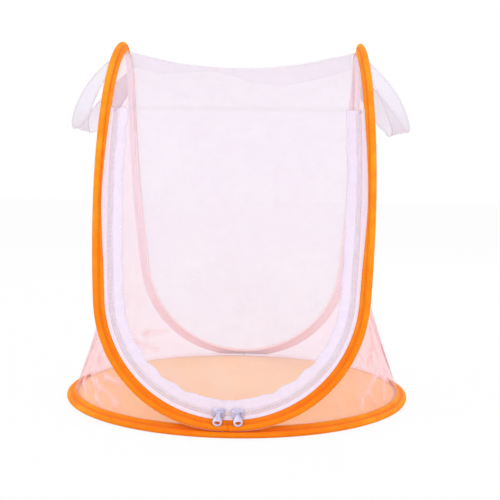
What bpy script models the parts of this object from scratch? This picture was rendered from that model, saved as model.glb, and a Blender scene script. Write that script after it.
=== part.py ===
# Pop-up insect cage: a round base hoop, one long saddle-shaped hoop of spring steel whose two
# tips stand up left and right, mesh walls between them, and a front door on a two-slider zip.
# Metres, +Z up, the front faces -Y. The origin is under the middle of the base hoop.

import math

import bmesh
import bpy
from mathutils import Matrix, Vector

# Whole cage
BASE_DIAMETER = 0.340
CAGE_HEIGHT = 0.350
RUNNING_GAP = 0.0003

# Spring wire and the tape that binds it
WIRE_DIAMETER = 0.0020
WIRE_END_GAP = 0.0012
FERRULE_LENGTH = 0.026
FERRULE_WALL = 0.00045
FERRULE_CLEARANCE = 0.00025
FERRULE_SLIT = 0.0004
TAPE_WALL = 0.00055
TUBE_CLEARANCE = 0.0003
BAND_WIDTH = 0.0115
HEM_PLY = 0.00065
HEM_SLIT = 0.0004
SEAM_INSET = 0.0010
BASE_HEM_SLOPE = math.radians(34)

# Front edge of the tall hoop: a circular arc in a leaning plane, then an arm up to the tip
ARC_RADIUS = 0.1103
ARC_END = math.radians(85)
FRONT_LEAN = math.radians(16)
HOOP_SEAT = 0.0042
ARM_RISE = 0.160
TIP_HALF_WIDTH = 0.1115
TIP_ROUNDING = 0.056
ARC_LENGTH_SHARE = 0.38
HEM_TURN_SHARES = (0.0, 0.19, 0.38, 0.69, 1.0)
HEM_TURNS = tuple(math.radians(turn) for turn in (40, 16, 36, 53, 62))

# Cloth
MESH_THICKNESS = 0.0006
TAPE_THICKNESS = 0.0005
FLOOR_THICKNESS = 0.0008
FLOOR_FLAT_RADIUS = 0.118
FLOOR_RISE_STEPS = 5
WALL_TUCK_SHARE = 0.075
WALL_FAN_POWER_SHARE = 2.2
ROOF_SAG = 0.0165
RIDGE_HEM_DEPTH = 0.014
RIDGE_HEM_THICKNESS = 0.0012
RIDGE_HEM_INSET = 0.0030

# Zip
DOOR_TOP_DROP = 0.070
DOOR_HINGE_GAP = 0.0003
CHAIN_DEPTH = 0.0053
COIL_RADIUS = 0.00075
COIL_SPREAD = 0.0014
DOOR_TAPE_DEPTH = 0.0165
NOTCH_LENGTH = 0.0138
NOTCH_RAMP = 0.0042
STOP_LENGTH = 0.0032
STOP_WIDTH = 0.0015
STOP_THICKNESS = 0.0020

# Sliders and pulls
SLIDER_LENGTH = 0.0095
SLIDER_WIDTH = 0.0078
SLIDER_NOSE_WIDTH = 0.0078
SLIDER_TAIL_WIDTH = 0.0066
SLIDER_PLATE = 0.0008
SLIDER_CHANNEL = 0.0026
SLIDER_LIP = 0.0006
SLIDER_SLOT = 0.0013
WEDGE_WIDTH = 0.0005
WEDGE_LENGTH = 0.0034
BAIL_RADIUS = 0.00045
BAIL_HALF_SPAN = 0.0031
PULL_EYE_CLEARANCE = 0.0003
PULL_EYE_WALL = 0.0005
PULL_EYE_WIDTH = 0.0040
PULL_THICKNESS = 0.0008
PULL_LENGTH = 0.0118
PULL_WIDTH = 0.0078
PULL_HOLE_WIDTH = 0.0050
PULL_HOLE_HEIGHT = 0.0026
PULL_HOLE_EDGE = 0.0017
PULL_REST_LIFT = math.radians(16)
SLIDER_REST_OFFSET = 0.0081

# Carrying straps
STRAP_WIDTH = 0.021
STRAP_THICKNESS = 0.0009
STRAP_ARC_RADIUS = 0.200
STRAP_ARC_START = math.radians(47.4)
STRAP_ARC_END = math.radians(65.3)
STRAP_TILT = math.radians(79.6)
STRAP_DROP = 0.025

# Facets
ARC_STEPS = 12
ARM_STEPS = 14
BASE_STEPS = 56
TABLE_STEPS = 60
ROUND_STEPS = 8
PANEL_COLUMNS = 8
WALL_STEPS = 5
STRAP_STEPS = 20

WIRE_RADIUS = WIRE_DIAMETER / 2
FERRULE_INNER = WIRE_RADIUS + FERRULE_CLEARANCE
FERRULE_OUTER = FERRULE_INNER + FERRULE_WALL
TUBE_INNER = FERRULE_OUTER + TUBE_CLEARANCE
TUBE_OUTER = TUBE_INNER + TAPE_WALL
HEM_HALF = HEM_PLY + HEM_SLIT / 2
HEM_REACH = BAND_WIDTH - TUBE_OUTER
SEAM_REACH = HEM_REACH - SEAM_INSET
SEAM_LIFT = HEM_HALF + RUNNING_GAP + MESH_THICKNESS / 2
BASE_WIRE_RADIUS = BASE_DIAMETER / 2 - TUBE_OUTER
DOOR_TOP_HEIGHT = CAGE_HEIGHT - DOOR_TOP_DROP
STRAP_TOP_HEIGHT = CAGE_HEIGHT - STRAP_DROP

# Shares of the pieces that carry them
WELD_SHARE = 0.05
WEDGE_END_SHARE = 0.98
PULL_NECK_SHARE = 0.9
NECK_SHARE = 0.5
SHOULDER_SHARE = 1.5

ORANGE_TAPE = (0.96, 0.29, 0.02, 1.0)
ORANGE_CLOTH = (0.98, 0.52, 0.22, 1.0)
PINK_MESH = (0.97, 0.88, 0.92, 1.0)
LILAC_TAPE = (0.90, 0.84, 0.93, 1.0)
COIL_GREY = (0.72, 0.69, 0.76, 1.0)
STEEL = (0.62, 0.62, 0.64, 1.0)
SLIDER_PAINT = (0.78, 0.76, 0.86, 1.0)


def clear_scene():
    for old in list(bpy.data.objects):
        bpy.data.objects.remove(old)


def new_collection(name):
    found = bpy.data.collections.new(name)
    bpy.context.scene.collection.children.link(found)
    return found


def material(name, color, roughness, metallic=0.0):
    made = bpy.data.materials.new(name)
    made.use_nodes = True
    shader = made.node_tree.nodes["Principled BSDF"]
    shader.inputs["Base Color"].default_value = color
    shader.inputs["Roughness"].default_value = roughness
    shader.inputs["Metallic"].default_value = metallic
    return made


def add_part(name, data, look, parent=None):
    part = bpy.data.objects.new(name, data)
    data.materials.clear()
    data.materials.append(material(name + "_look", *look))
    part.parent = parent
    PARTS.objects.link(part)
    return part


def mesh_from(shape, name):
    bmesh.ops.recalc_face_normals(shape, faces=shape.faces[:])
    data = bpy.data.meshes.new(name)
    shape.to_mesh(data)
    shape.free()
    return data


def smooth(share):
    share = min(max(share, 0.0), 1.0)
    return share * share * (3 - 2 * share)


def mix(first, second, share):
    return first + (second - first) * share


def bezier(points, t):
    a, b, c, d = points
    return (1 - t) ** 3 * a + 3 * (1 - t) ** 2 * t * b + 3 * (1 - t) * t * t * c + t ** 3 * d


# The cloth front is a bent sheet with straight rows along X. A place on it is x and the length
# along its side profile, from the bottom of the front edge to the ridge.

def hem_frame(lean, turn, inward):
    """Hem direction and hem face normal where the cloth leans by lean and the hem turns back."""
    outward = Vector((0, -math.cos(lean), math.sin(lean)))
    along = inward * math.cos(turn) - outward * math.sin(turn)
    face = outward * math.cos(turn) + inward * math.sin(turn)
    return along, face


def hoop_bottom():
    """The tall hoop's wire where it lies on the base hem, at the front centre."""
    inward = Vector((0, math.cos(BASE_HEM_SLOPE), math.sin(BASE_HEM_SLOPE)))
    upward = Vector((0, -math.sin(BASE_HEM_SLOPE), math.cos(BASE_HEM_SLOPE)))
    rise = HEM_HALF + RUNNING_GAP + TUBE_OUTER
    return Vector((0, -BASE_WIRE_RADIUS, TUBE_OUTER)) + inward * HOOP_SEAT + upward * rise


def front_start():
    """Lowest point of the front cloth edge, from the wire that carries its hem."""
    along, face = hem_frame(FRONT_LEAN, HEM_TURNS[0], LEAN_UP)
    return hoop_bottom() + along * SEAM_REACH + face * SEAM_LIFT


def tip_height():
    """Height of the cloth edge at a tip, so that the tape over the wire tops out at the cage height."""
    along, face = hem_frame(math.pi / 2, HEM_TURNS[-1], Vector((-1, 0, 0)))
    return CAGE_HEIGHT - TUBE_OUTER + along.z * SEAM_REACH + face.z * SEAM_LIFT


LEAN_UP = Vector((0, math.sin(FRONT_LEAN), math.cos(FRONT_LEAN)))
START = front_start()
ARC_TOP_X = ARC_RADIUS * math.sin(ARC_END)
ARC_TOP_RISE = ARC_RADIUS * (1 - math.cos(ARC_END))
ARC_TOP = START + LEAN_UP * ARC_TOP_RISE + Vector((ARC_TOP_X, 0, 0))
ARC_HEADING = LEAN_UP * math.sin(ARC_END) + Vector((math.cos(ARC_END), 0, 0))
TIP = Vector((TIP_HALF_WIDTH, 0, tip_height()))
ARM = (ARC_TOP, ARC_TOP + ARC_HEADING * ARM_RISE, TIP - Vector((0, TIP_ROUNDING, 0)), TIP)


def profile_table():
    """Rows of length along the profile, y and z, from the bottom of the front cloth to the ridge."""
    rows = [(0.0, START.y, START.z), (ARC_TOP_RISE, ARC_TOP.y, ARC_TOP.z)]
    for step in range(1, TABLE_STEPS + 1):
        spot = bezier(ARM, step / TABLE_STEPS)
        length, y, z = rows[-1]
        rows.append((length + math.hypot(spot.y - y, spot.z - z), spot.y, spot.z))
    return rows


PROFILE = profile_table()
RIDGE_LENGTH = PROFILE[-1][0]


def profile_at(length):
    """Place, lean direction and outward normal of the front cloth at a length along its profile."""
    length = min(max(length, 0.0), RIDGE_LENGTH)
    step = 1
    while step < len(PROFILE) - 1 and PROFILE[step][0] < length:
        step += 1
    low, high = PROFILE[step - 1], PROFILE[step]
    share = (length - low[0]) / (high[0] - low[0])
    rise = Vector((0, high[1] - low[1], high[2] - low[2])).normalized()
    place = Vector((0, mix(low[1], high[1], share), mix(low[2], high[2], share)))
    return place, rise, Vector((0, -rise.z, rise.y))


def sag_at(x, length):
    """How far the roof between the tips hangs below its straight rows."""
    share = (length - DOOR_TOP_LENGTH) / (RIDGE_LENGTH - DOOR_TOP_LENGTH)
    across = x / TIP_HALF_WIDTH
    return ROOF_SAG * smooth(share) * max(0.0, 1 - across * across)


def front_point(x, length, lift=0.0):
    """A place on the front cloth, lifted outwards by lift."""
    place, rise, outward = profile_at(length)
    return place + outward * lift + Vector((x, 0, -sag_at(x, length)))


def edge_flat(share):
    """The front cloth edge at a share of its run from the bottom to the tip: x and length."""
    if share <= ARC_LENGTH_SHARE:
        angle = ARC_END * share / ARC_LENGTH_SHARE
        return ARC_RADIUS * math.sin(angle), ARC_RADIUS * (1 - math.cos(angle))
    t = (share - ARC_LENGTH_SHARE) / (1 - ARC_LENGTH_SHARE)
    spot = t * TABLE_STEPS
    step = min(int(spot), TABLE_STEPS - 1)
    length = mix(PROFILE[step + 1][0], PROFILE[step + 2][0], spot - step)
    return bezier(ARM, t).x, length


def edge_inward(share):
    """Unit direction across the edge, into the cloth, in x and length."""
    small = 1 / (TABLE_STEPS * TABLE_STEPS)
    low = edge_flat(max(share - small, 0.0))
    high = edge_flat(min(share + small, 1.0))
    run = Vector((high[0] - low[0], high[1] - low[1])).normalized()
    if share == 0.0:
        run = Vector((1, 0))
    if share == 1.0:
        run = Vector((0, 1))
    return Vector((-run.y, run.x))


def edge_offset(share, depth):
    """The cloth edge moved into the cloth by depth: x and length."""
    x, length = edge_flat(share)
    inward = edge_inward(share)
    return x + inward.x * depth, length + inward.y * depth


def share_at_length(target, depth=0.0):
    """Share of the edge's run whose offset point lies at a length along the profile."""
    low, high = 0.0, 1.0
    for _ in range(TABLE_STEPS):
        middle = (low + high) / 2
        if edge_offset(middle, depth)[1] < target:
            low = middle
        else:
            high = middle
    return (low + high) / 2


def length_at_height(height):
    for low, high in zip(PROFILE, PROFILE[1:]):
        if high[2] >= height:
            return mix(low[0], high[0], (height - low[2]) / (high[2] - low[2]))
    return RIDGE_LENGTH


DOOR_TOP_LENGTH = length_at_height(DOOR_TOP_HEIGHT)
DOOR_TOP_SHARE = share_at_length(DOOR_TOP_LENGTH)


def hem_turn_at(share):
    for low in range(len(HEM_TURN_SHARES) - 1):
        if share <= HEM_TURN_SHARES[low + 1]:
            span = HEM_TURN_SHARES[low + 1] - HEM_TURN_SHARES[low]
            part = smooth((share - HEM_TURN_SHARES[low]) / span)
            return mix(HEM_TURNS[low], HEM_TURNS[low + 1], part)
    return HEM_TURNS[-1]


def hoop_frame(share, side=1, back=1):
    """Wire centre, hem direction and hem face normal of the tall hoop, mirrored by side and back."""
    x, length = edge_flat(share)
    place, rise, outward = profile_at(length)
    across = edge_inward(share)
    inward = Vector((across.x, 0, 0)) + rise * across.y
    turn = hem_turn_at(share)
    along = inward * math.cos(turn) - outward * math.sin(turn)
    face = outward * math.cos(turn) + inward * math.sin(turn)
    wire = place + Vector((x, 0, 0)) - along * SEAM_REACH - face * SEAM_LIFT
    flip = Vector((side, back, 1))
    return wire * flip, along * flip, face * flip


def hoop_shares():
    """Shares along a quarter of the tall hoop, closer on the arc than on the arm."""
    arc = [ARC_LENGTH_SHARE * step / ARC_STEPS for step in range(ARC_STEPS)]
    arm = [mix(ARC_LENGTH_SHARE, 1.0, step / ARM_STEPS) for step in range(ARM_STEPS + 1)]
    return arc + arm


def half_hoop(side):
    """Frames from the front centre over one tip to the rear centre."""
    shares = hoop_shares()
    front = [hoop_frame(share, side, 1) for share in shares]
    rear = [hoop_frame(share, side, -1) for share in reversed(shares[:-1])]
    for frames, end in ((front, 0), (rear, -1)):
        place, along, face = frames[end]
        frames[end] = (place + Vector((side * RUNNING_GAP / 2, 0, 0)), along, face)
    return front + rear


def c_section(inner, outer, slit, reach=None, thick=None):
    """Closed outline of a round tube slit on one side, with flat plies out to reach if given."""
    half = slit / 2
    start = math.asin(half / inner)
    outer_start = math.asin((thick if thick else half) / outer)
    points = []
    if reach:
        points.append((reach, thick))
    for step in range(ROUND_STEPS + 1):
        angle = mix(outer_start, 2 * math.pi - outer_start, step / ROUND_STEPS)
        points.append((outer * math.cos(angle), outer * math.sin(angle)))
    if reach:
        points.extend([(reach, -thick), (reach, -half)])
    for step in range(ROUND_STEPS + 1):
        angle = mix(2 * math.pi - start, start, step / ROUND_STEPS)
        points.append((inner * math.cos(angle), inner * math.sin(angle)))
    if reach:
        points.append((reach, half))
    return points


def sweep(name, frames, section):
    """A C section carried through turning frames, its ends closed from outer to inner points."""
    shape = bmesh.new()
    rings = []
    for place, along, face in frames:
        rings.append([shape.verts.new(place + along * a + face * b) for a, b in section])
    count = len(section)
    for low, high in zip(rings, rings[1:]):
        for spot in range(count):
            after = (spot + 1) % count
            shape.faces.new((low[spot], low[after], high[after], high[spot]))
    for ring in (rings[0], rings[-1]):
        for spot in range(count // 2 - 1):
            shape.faces.new((ring[spot], ring[spot + 1], ring[-2 - spot], ring[-1 - spot]))
    return mesh_from(shape, name)


def sheet(name, rows, thickness, look, parent=None):
    """A cloth lofted through rows of points and given its thickness about the middle."""
    start = parent.location if parent else Vector()
    shape = bmesh.new()
    grid = [[shape.verts.new(spot - start) for spot in row] for row in rows]
    for low, high in zip(grid, grid[1:]):
        for spot in range(len(low) - 1):
            shape.faces.new((low[spot], low[spot + 1], high[spot + 1], high[spot]))
    bmesh.ops.remove_doubles(shape, verts=shape.verts[:], dist=MESH_THICKNESS * WELD_SHARE)
    cloth = add_part(name, mesh_from(shape, name), look, parent)
    wall = cloth.modifiers.new("Thickness", "SOLIDIFY")
    wall.thickness = thickness
    wall.offset = 0
    return cloth


def wire_object(name, points, radius, look, parent=None):
    """A round wire through points, with filled ends."""
    start = parent.location if parent else Vector()
    path = bpy.data.curves.new(name, "CURVE")
    path.dimensions = "3D"
    path.bevel_depth = radius
    path.bevel_resolution = 2
    path.use_fill_caps = True
    spline = path.splines.new("POLY")
    spline.points.add(len(points) - 1)
    for spot, place in zip(spline.points, points):
        spot.co = (*(place - start), 1)
    return add_part(name, path, look, parent)


# Base

def ring_point(radius, angle, height=0.0):
    return Vector((radius * math.sin(angle), radius * math.cos(angle), height))


def hem_spot(reach, lift):
    """Radius and height of a place along the base hem, lifted off its middle plane."""
    cosine, sine = math.cos(BASE_HEM_SLOPE), math.sin(BASE_HEM_SLOPE)
    radius = BASE_WIRE_RADIUS - reach * cosine + lift * sine
    return radius, TUBE_OUTER + reach * sine + lift * cosine


def make_base():
    gap = WIRE_END_GAP / BASE_WIRE_RADIUS / 2
    wire = []
    for step in range(BASE_STEPS + 1):
        angle = 2 * math.pi * step / BASE_STEPS
        wire.append(ring_point(BASE_WIRE_RADIUS, min(max(angle, gap), 2 * math.pi - gap)))
    hoop = wire_object("base_hoop_wire", wire, WIRE_RADIUS, (STEEL, 0.35, 1.0))
    hoop.location.z = TUBE_OUTER

    step_turn = 2 * math.pi / BASE_STEPS
    reach_share = FERRULE_LENGTH / 2 / (BASE_WIRE_RADIUS * step_turn)
    middle = ring_point(BASE_WIRE_RADIUS, 0)
    frames = []
    for turn in (-step_turn, 0, step_turn):
        place = middle.lerp(ring_point(BASE_WIRE_RADIUS, turn), reach_share)
        frames.append((place, -place.normalized(), Vector((0, 0, 1))))
    section = c_section(FERRULE_INNER, FERRULE_OUTER, FERRULE_SLIT)
    ferrule = add_part("base_hoop_ferrule", sweep("base_hoop_ferrule", frames, section), (STEEL, 0.4, 1.0))
    ferrule.location.z = TUBE_OUTER

    outline = bmesh.new()
    spots = []
    for reach, lift in c_section(TUBE_INNER, TUBE_OUTER, HEM_SLIT, HEM_REACH, HEM_HALF):
        radius, height = hem_spot(reach, lift)
        spots.append(outline.verts.new((radius, 0, height)))
    for low, high in zip(spots, spots[1:] + spots[:1]):
        outline.edges.new((low, high))
    data = bpy.data.meshes.new("base_binding")
    outline.to_mesh(data)
    outline.free()
    binding = add_part("base_binding", data, (ORANGE_TAPE, 0.75))
    turned = binding.modifiers.new("Ring", "SCREW")
    turned.axis = "Z"
    turned.angle = 2 * math.pi
    turned.steps = BASE_STEPS
    turned.render_steps = BASE_STEPS
    turned.use_merge_vertices = True
    turned.merge_threshold = MESH_THICKNESS * WELD_SHARE


def make_floor():
    lift = HEM_HALF + RUNNING_GAP + FLOOR_THICKNESS / 2
    rim_radius, rim_height = hem_spot(SEAM_REACH, -lift)
    low = FLOOR_THICKNESS / 2
    profile = [(0, low), (FLOOR_FLAT_RADIUS / 2, low), (FLOOR_FLAT_RADIUS, low)]
    for step in range(1, FLOOR_RISE_STEPS + 1):
        share = step / FLOOR_RISE_STEPS
        profile.append((mix(FLOOR_FLAT_RADIUS, rim_radius, share), mix(low, rim_height, smooth(share))))
    outline = bmesh.new()
    spots = [outline.verts.new((radius, 0, height)) for radius, height in profile]
    for inner, outer in zip(spots, spots[1:]):
        outline.edges.new((inner, outer))
    data = bpy.data.meshes.new("floor_panel")
    outline.to_mesh(data)
    outline.free()
    floor = add_part("floor_panel", data, (ORANGE_CLOTH, 0.85))
    turned = floor.modifiers.new("Disc", "SCREW")
    turned.axis = "Z"
    turned.angle = 2 * math.pi
    turned.steps = BASE_STEPS
    turned.render_steps = BASE_STEPS
    turned.use_merge_vertices = True
    turned.merge_threshold = MESH_THICKNESS * WELD_SHARE
    wall = floor.modifiers.new("Thickness", "SOLIDIFY")
    wall.thickness = FLOOR_THICKNESS
    wall.offset = 0


# Tall hoop

def make_hoop():
    shares = hoop_shares()
    quarter = [hoop_frame(share)[0] for share in shares]
    run = [spot * Vector((1, -1, 1)) for spot in quarter[:-1]] + list(reversed(quarter))
    run[0] = run[0] + Vector((WIRE_END_GAP / 2, 0, 0))
    loop = run + [spot * Vector((-1, 1, 1)) for spot in reversed(run[:-1])]
    wire_object("arch_wire", loop, WIRE_RADIUS, (STEEL, 0.35, 1.0))

    middle = hoop_frame(0.0, 1, -1)
    beside = hoop_frame(shares[1], 1, -1)
    reach_share = FERRULE_LENGTH / 2 / (beside[0] - middle[0]).length
    right = tuple(low.lerp(high, reach_share) for low, high in zip(middle, beside))
    left = tuple(spot * Vector((-1, 1, 1)) for spot in right)
    frames = [left, middle, right]
    section = c_section(FERRULE_INNER, FERRULE_OUTER, FERRULE_SLIT)
    add_part("arch_ferrule", sweep("arch_ferrule", frames, section), (STEEL, 0.4, 1.0))

    section = c_section(TUBE_INNER, TUBE_OUTER, HEM_SLIT, HEM_REACH, HEM_HALF)
    for name, side in (("arch_binding_left", -1), ("arch_binding_right", 1)):
        add_part(name, sweep(name, half_hoop(side), section), (ORANGE_TAPE, 0.75))


# Walls

def wall_row(share, side, back):
    """One pull line of a side wall, from the base hem up to the tall hoop's hem."""
    place, along, face = hoop_frame(share, side, back)
    top = place + along * SEAM_REACH - face * SEAM_LIFT
    radius, height = hem_spot(SEAM_REACH, SEAM_LIFT)
    angle = math.pi / 2 * (1 - (1 - share) ** WALL_FAN_POWER_SHARE)
    foot = Vector((side * radius * math.sin(angle), -back * radius * math.cos(angle), height))
    if share == 0.0:
        foot.x = top.x = side * RUNNING_GAP
    length = (top - foot).length
    row = []
    for step in range(WALL_STEPS + 1):
        t = step / WALL_STEPS
        spot = foot.lerp(top, t)
        inward = Vector((-spot.x, -spot.y, 0)).normalized()
        row.append(spot + inward * (length * WALL_TUCK_SHARE * 4 * t * (1 - t)))
    return row


def make_side_walls():
    for name, side in (("side_panel_left", -1), ("side_panel_right", 1)):
        shares = hoop_shares()
        rows = [wall_row(share, side, 1) for share in shares]
        rows += [wall_row(share, side, -1) for share in reversed(shares[:-1])]
        sheet(name, rows, MESH_THICKNESS, (PINK_MESH, 0.8))


def run_shares(low, high):
    """The hoop's shares between two ends, with the ends themselves."""
    return [low] + [share for share in hoop_shares() if low < share < high] + [high]


def chord_rows(depth, shares, low_length, high_length, back=1):
    """Straight rows of the front or rear cloth between its two edges."""
    rows = []
    for share in shares:
        x, length = edge_offset(share, depth)
        length = min(max(length, low_length), high_length)
        row = []
        for column in range(PANEL_COLUMNS + 1):
            spot = front_point(x * (2 * column / PANEL_COLUMNS - 1), length)
            row.append(spot * Vector((1, back, 1)))
        rows.append(row)
    return rows


def make_rear_and_roof():
    ridge = RIDGE_LENGTH - RUNNING_GAP / 2
    rows = chord_rows(0.0, run_shares(0.0, 1.0), 0.0, ridge, -1)
    sheet("rear_panel", rows, MESH_THICKNESS, (PINK_MESH, 0.8))
    bottom = DOOR_TOP_LENGTH + DOOR_HINGE_GAP
    rows = chord_rows(0.0, run_shares(share_at_length(bottom), 1.0), bottom, ridge)
    sheet("front_panel_upper", rows, MESH_THICKNESS, (PINK_MESH, 0.8))

    rows = []
    for step in range(3):
        drop = MESH_THICKNESS / 2 + RUNNING_GAP + RIDGE_HEM_DEPTH * step / 2
        half = TIP_HALF_WIDTH - RIDGE_HEM_INSET
        row = []
        for column in range(PANEL_COLUMNS * 2 + 1):
            spot = front_point(half * (column / PANEL_COLUMNS - 1), RIDGE_LENGTH)
            row.append(spot - Vector((0, 0, drop)))
        rows.append(row)
    sheet("ridge_hem", rows, RIDGE_HEM_THICKNESS, (LILAC_TAPE, 0.8))


# Door and zip

def arc_share(length, radius):
    return ARC_LENGTH_SHARE * length / (radius * ARC_END)


NOTCH_START = arc_share(NOTCH_LENGTH, ARC_RADIUS - CHAIN_DEPTH)
NOTCH_END = arc_share(NOTCH_LENGTH + NOTCH_RAMP, ARC_RADIUS - CHAIN_DEPTH)


def zip_shares():
    return sorted(run_shares(0.0, DOOR_TOP_SHARE) + [NOTCH_START, NOTCH_END])


def door_tape_depth(share):
    """Where the door tape starts: clear of the coil, and of the slider bodies near the middle."""
    beside_coil = CHAIN_DEPTH + COIL_SPREAD + COIL_RADIUS + RUNNING_GAP
    beside_slider = CHAIN_DEPTH + SLIDER_WIDTH / 2 + RUNNING_GAP * 2
    return mix(beside_slider, beside_coil, smooth((share - NOTCH_START) / (NOTCH_END - NOTCH_START)))


def tape_rows(first, second, height):
    """Rows across a tape that runs inside the front edge, from the left top to the right top."""
    rows = []
    for share in zip_shares():
        row = []
        for column in range(3):
            x, length = edge_offset(share, mix(first(share), second, column / 2))
            row.append((x, min(length, height)))
        rows.append(row)
    left = [[(-x, length) for x, length in row] for row in reversed(rows[1:])]
    return [[front_point(x, length) for x, length in row] for row in left + rows]


def coil_points(depth, side, start=0.0):
    """One side of a coil line, from a share near the middle up to the stop."""
    points = []
    for share in run_shares(start, share_at_length(COIL_TOP_LENGTH, depth)):
        x, length = edge_offset(share, depth)
        points.append(front_point(side * x, length))
    return points


COIL_TOP_LENGTH = DOOR_TOP_LENGTH - DOOR_HINGE_GAP - STOP_LENGTH - RUNNING_GAP


def make_zip(door):
    top = DOOR_TOP_LENGTH - DOOR_HINGE_GAP
    inner_line = CHAIN_DEPTH + COIL_SPREAD
    outer_line = CHAIN_DEPTH - COIL_SPREAD
    outer_edge = outer_line - COIL_RADIUS - RUNNING_GAP
    rows = tape_rows(lambda share: 0.0, outer_edge, top)
    sheet("zip_tape_frame", rows, TAPE_THICKNESS, (LILAC_TAPE, 0.8))
    line = list(reversed(coil_points(outer_line, -1)))[:-1] + coil_points(outer_line, 1)
    wire_object("zip_coil_frame", line, COIL_RADIUS, (COIL_GREY, 0.5))

    rows = tape_rows(door_tape_depth, DOOR_TAPE_DEPTH, top)
    sheet("zip_tape_door", rows, TAPE_THICKNESS, (LILAC_TAPE, 0.8), door)
    for name, side in (("zip_coil_door_left", -1), ("zip_coil_door_right", 1)):
        wire_object(name, coil_points(inner_line, side, NOTCH_END), COIL_RADIUS, (COIL_GREY, 0.5), door)

    depth = DOOR_TAPE_DEPTH + RUNNING_GAP
    rows = chord_rows(depth, run_shares(0.0, share_at_length(top, depth)), 0.0, top)
    sheet("door_panel", rows, MESH_THICKNESS, (PINK_MESH, 0.8), door)

    for name, side in (("zip_stop_left", -1), ("zip_stop_right", 1)):
        share = share_at_length(top - STOP_LENGTH / 2, CHAIN_DEPTH - COIL_SPREAD)
        x, length = edge_offset(share, CHAIN_DEPTH - COIL_SPREAD)
        rise = profile_at(length)[1]
        shape = bmesh.new()
        block = Matrix.Diagonal((STOP_WIDTH, STOP_THICKNESS, STOP_LENGTH, 1))
        bmesh.ops.create_cube(shape, size=1, matrix=block)
        stop = add_part(name, mesh_from(shape, name), (SLIDER_PAINT, 0.35, 0.6))
        stop.location = front_point(side * x, length)
        stop.rotation_euler.x = -math.atan2(rise.y, rise.z)


def prism(outline, start, end):
    """A flat outline in y and z, pushed along x from start to end."""
    shape = bmesh.new()
    first = [shape.verts.new((start, y, z)) for y, z in outline]
    second = [shape.verts.new((end, y, z)) for y, z in outline]
    count = len(outline)
    for spot in range(count):
        after = (spot + 1) % count
        shape.faces.new((first[spot], first[after], second[after], second[spot]))
    shape.faces.new(first)
    shape.faces.new(second)
    return mesh_from(shape, "prism")


def union(base, pieces):
    """Boolean union of cutter-collection pieces into a part."""
    for piece in pieces:
        joined = base.modifiers.new("Join", "BOOLEAN")
        joined.operation = "UNION"
        joined.solver = "EXACT"
        joined.object = piece
        piece.hide_render = True
        piece.display_type = "WIRE"


def guide(name, data, parent):
    piece = bpy.data.objects.new(name, data)
    piece.parent = parent
    CUTTERS.objects.link(piece)
    return piece


def curve_to_mesh(curve, weld):
    """The mesh of a curve, its loose caps welded."""
    holder = bpy.data.objects.new("holder", curve)
    CUTTERS.objects.link(holder)
    bpy.context.view_layer.update()
    graph = bpy.context.evaluated_depsgraph_get()
    data = bpy.data.meshes.new_from_object(holder.evaluated_get(graph))
    bpy.data.objects.remove(holder)
    shape = bmesh.new()
    shape.from_mesh(data)
    bmesh.ops.remove_doubles(shape, verts=shape.verts[:], dist=weld)
    return mesh_from(shape, curve.name)


def tapered_plate(nose, top):
    """One slider plate with its turned-in lips, wider at the nose than at the tail."""
    sign = 1 if top else -1
    edge, lip = SLIDER_WIDTH / 2, SLIDER_WIDTH / 2 - SLIDER_LIP
    low, inner, high = SLIDER_SLOT / 2, SLIDER_CHANNEL / 2, SLIDER_CHANNEL / 2 + SLIDER_PLATE
    outline = [(-edge, low), (-lip, low), (-lip, inner), (lip, inner), (lip, low), (edge, low),
               (edge, high), (-edge, high)]
    data = prism([(y, sign * z) for y, z in outline], -SLIDER_LENGTH / 2, SLIDER_LENGTH / 2)
    for spot in data.vertices:
        at_nose = spot.co.x * nose > 0
        spot.co.y *= (SLIDER_NOSE_WIDTH if at_nose else SLIDER_TAIL_WIDTH) / SLIDER_WIDTH
    return data


BAIL_HEIGHT = SLIDER_CHANNEL / 2 + SLIDER_PLATE + RUNNING_GAP + BAIL_RADIUS + PULL_EYE_CLEARANCE + PULL_EYE_WALL


def make_slider(name, nose, seat):
    """Two lipped plates joined by the wedge at the nose, with a bail over the front plate."""
    slider = add_part(name, tapered_plate(nose, True), (SLIDER_PAINT, 0.3, 0.7), seat)
    under = guide(name + "_back_plate", tapered_plate(nose, False), seat)
    web = WEDGE_WIDTH / 2
    reach = SLIDER_CHANNEL / 2 + SLIDER_PLATE / 2
    box = [(-web, -reach), (web, -reach), (web, reach), (-web, reach)]
    tip = SLIDER_LENGTH / 2
    ends = sorted((nose * tip * WEDGE_END_SHARE, nose * (tip - WEDGE_LENGTH)))
    wedge = guide(name + "_wedge", prism(box, *ends), seat)

    arch = bpy.data.curves.new(name + "_bail", "CURVE")
    arch.dimensions = "3D"
    arch.bevel_depth = BAIL_RADIUS
    arch.bevel_resolution = 2
    arch.use_fill_caps = True
    foot, corner = SLIDER_CHANNEL / 2 + SLIDER_PLATE / 2, BAIL_RADIUS * 2
    route = [(-BAIL_HALF_SPAN - corner, foot), (-BAIL_HALF_SPAN, BAIL_HEIGHT - corner),
             (-BAIL_HALF_SPAN + corner, BAIL_HEIGHT), (BAIL_HALF_SPAN - corner, BAIL_HEIGHT),
             (BAIL_HALF_SPAN, BAIL_HEIGHT - corner), (BAIL_HALF_SPAN + corner, foot)]
    spline = arch.splines.new("POLY")
    spline.points.add(len(route) - 1)
    for spot, (x, z) in zip(spline.points, route):
        spot.co = (x, 0, z, 1)
    bail = guide(name + "_bail", curve_to_mesh(arch, BAIL_RADIUS * WELD_SHARE), seat)
    union(slider, [under, wedge, bail])
    return slider


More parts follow.
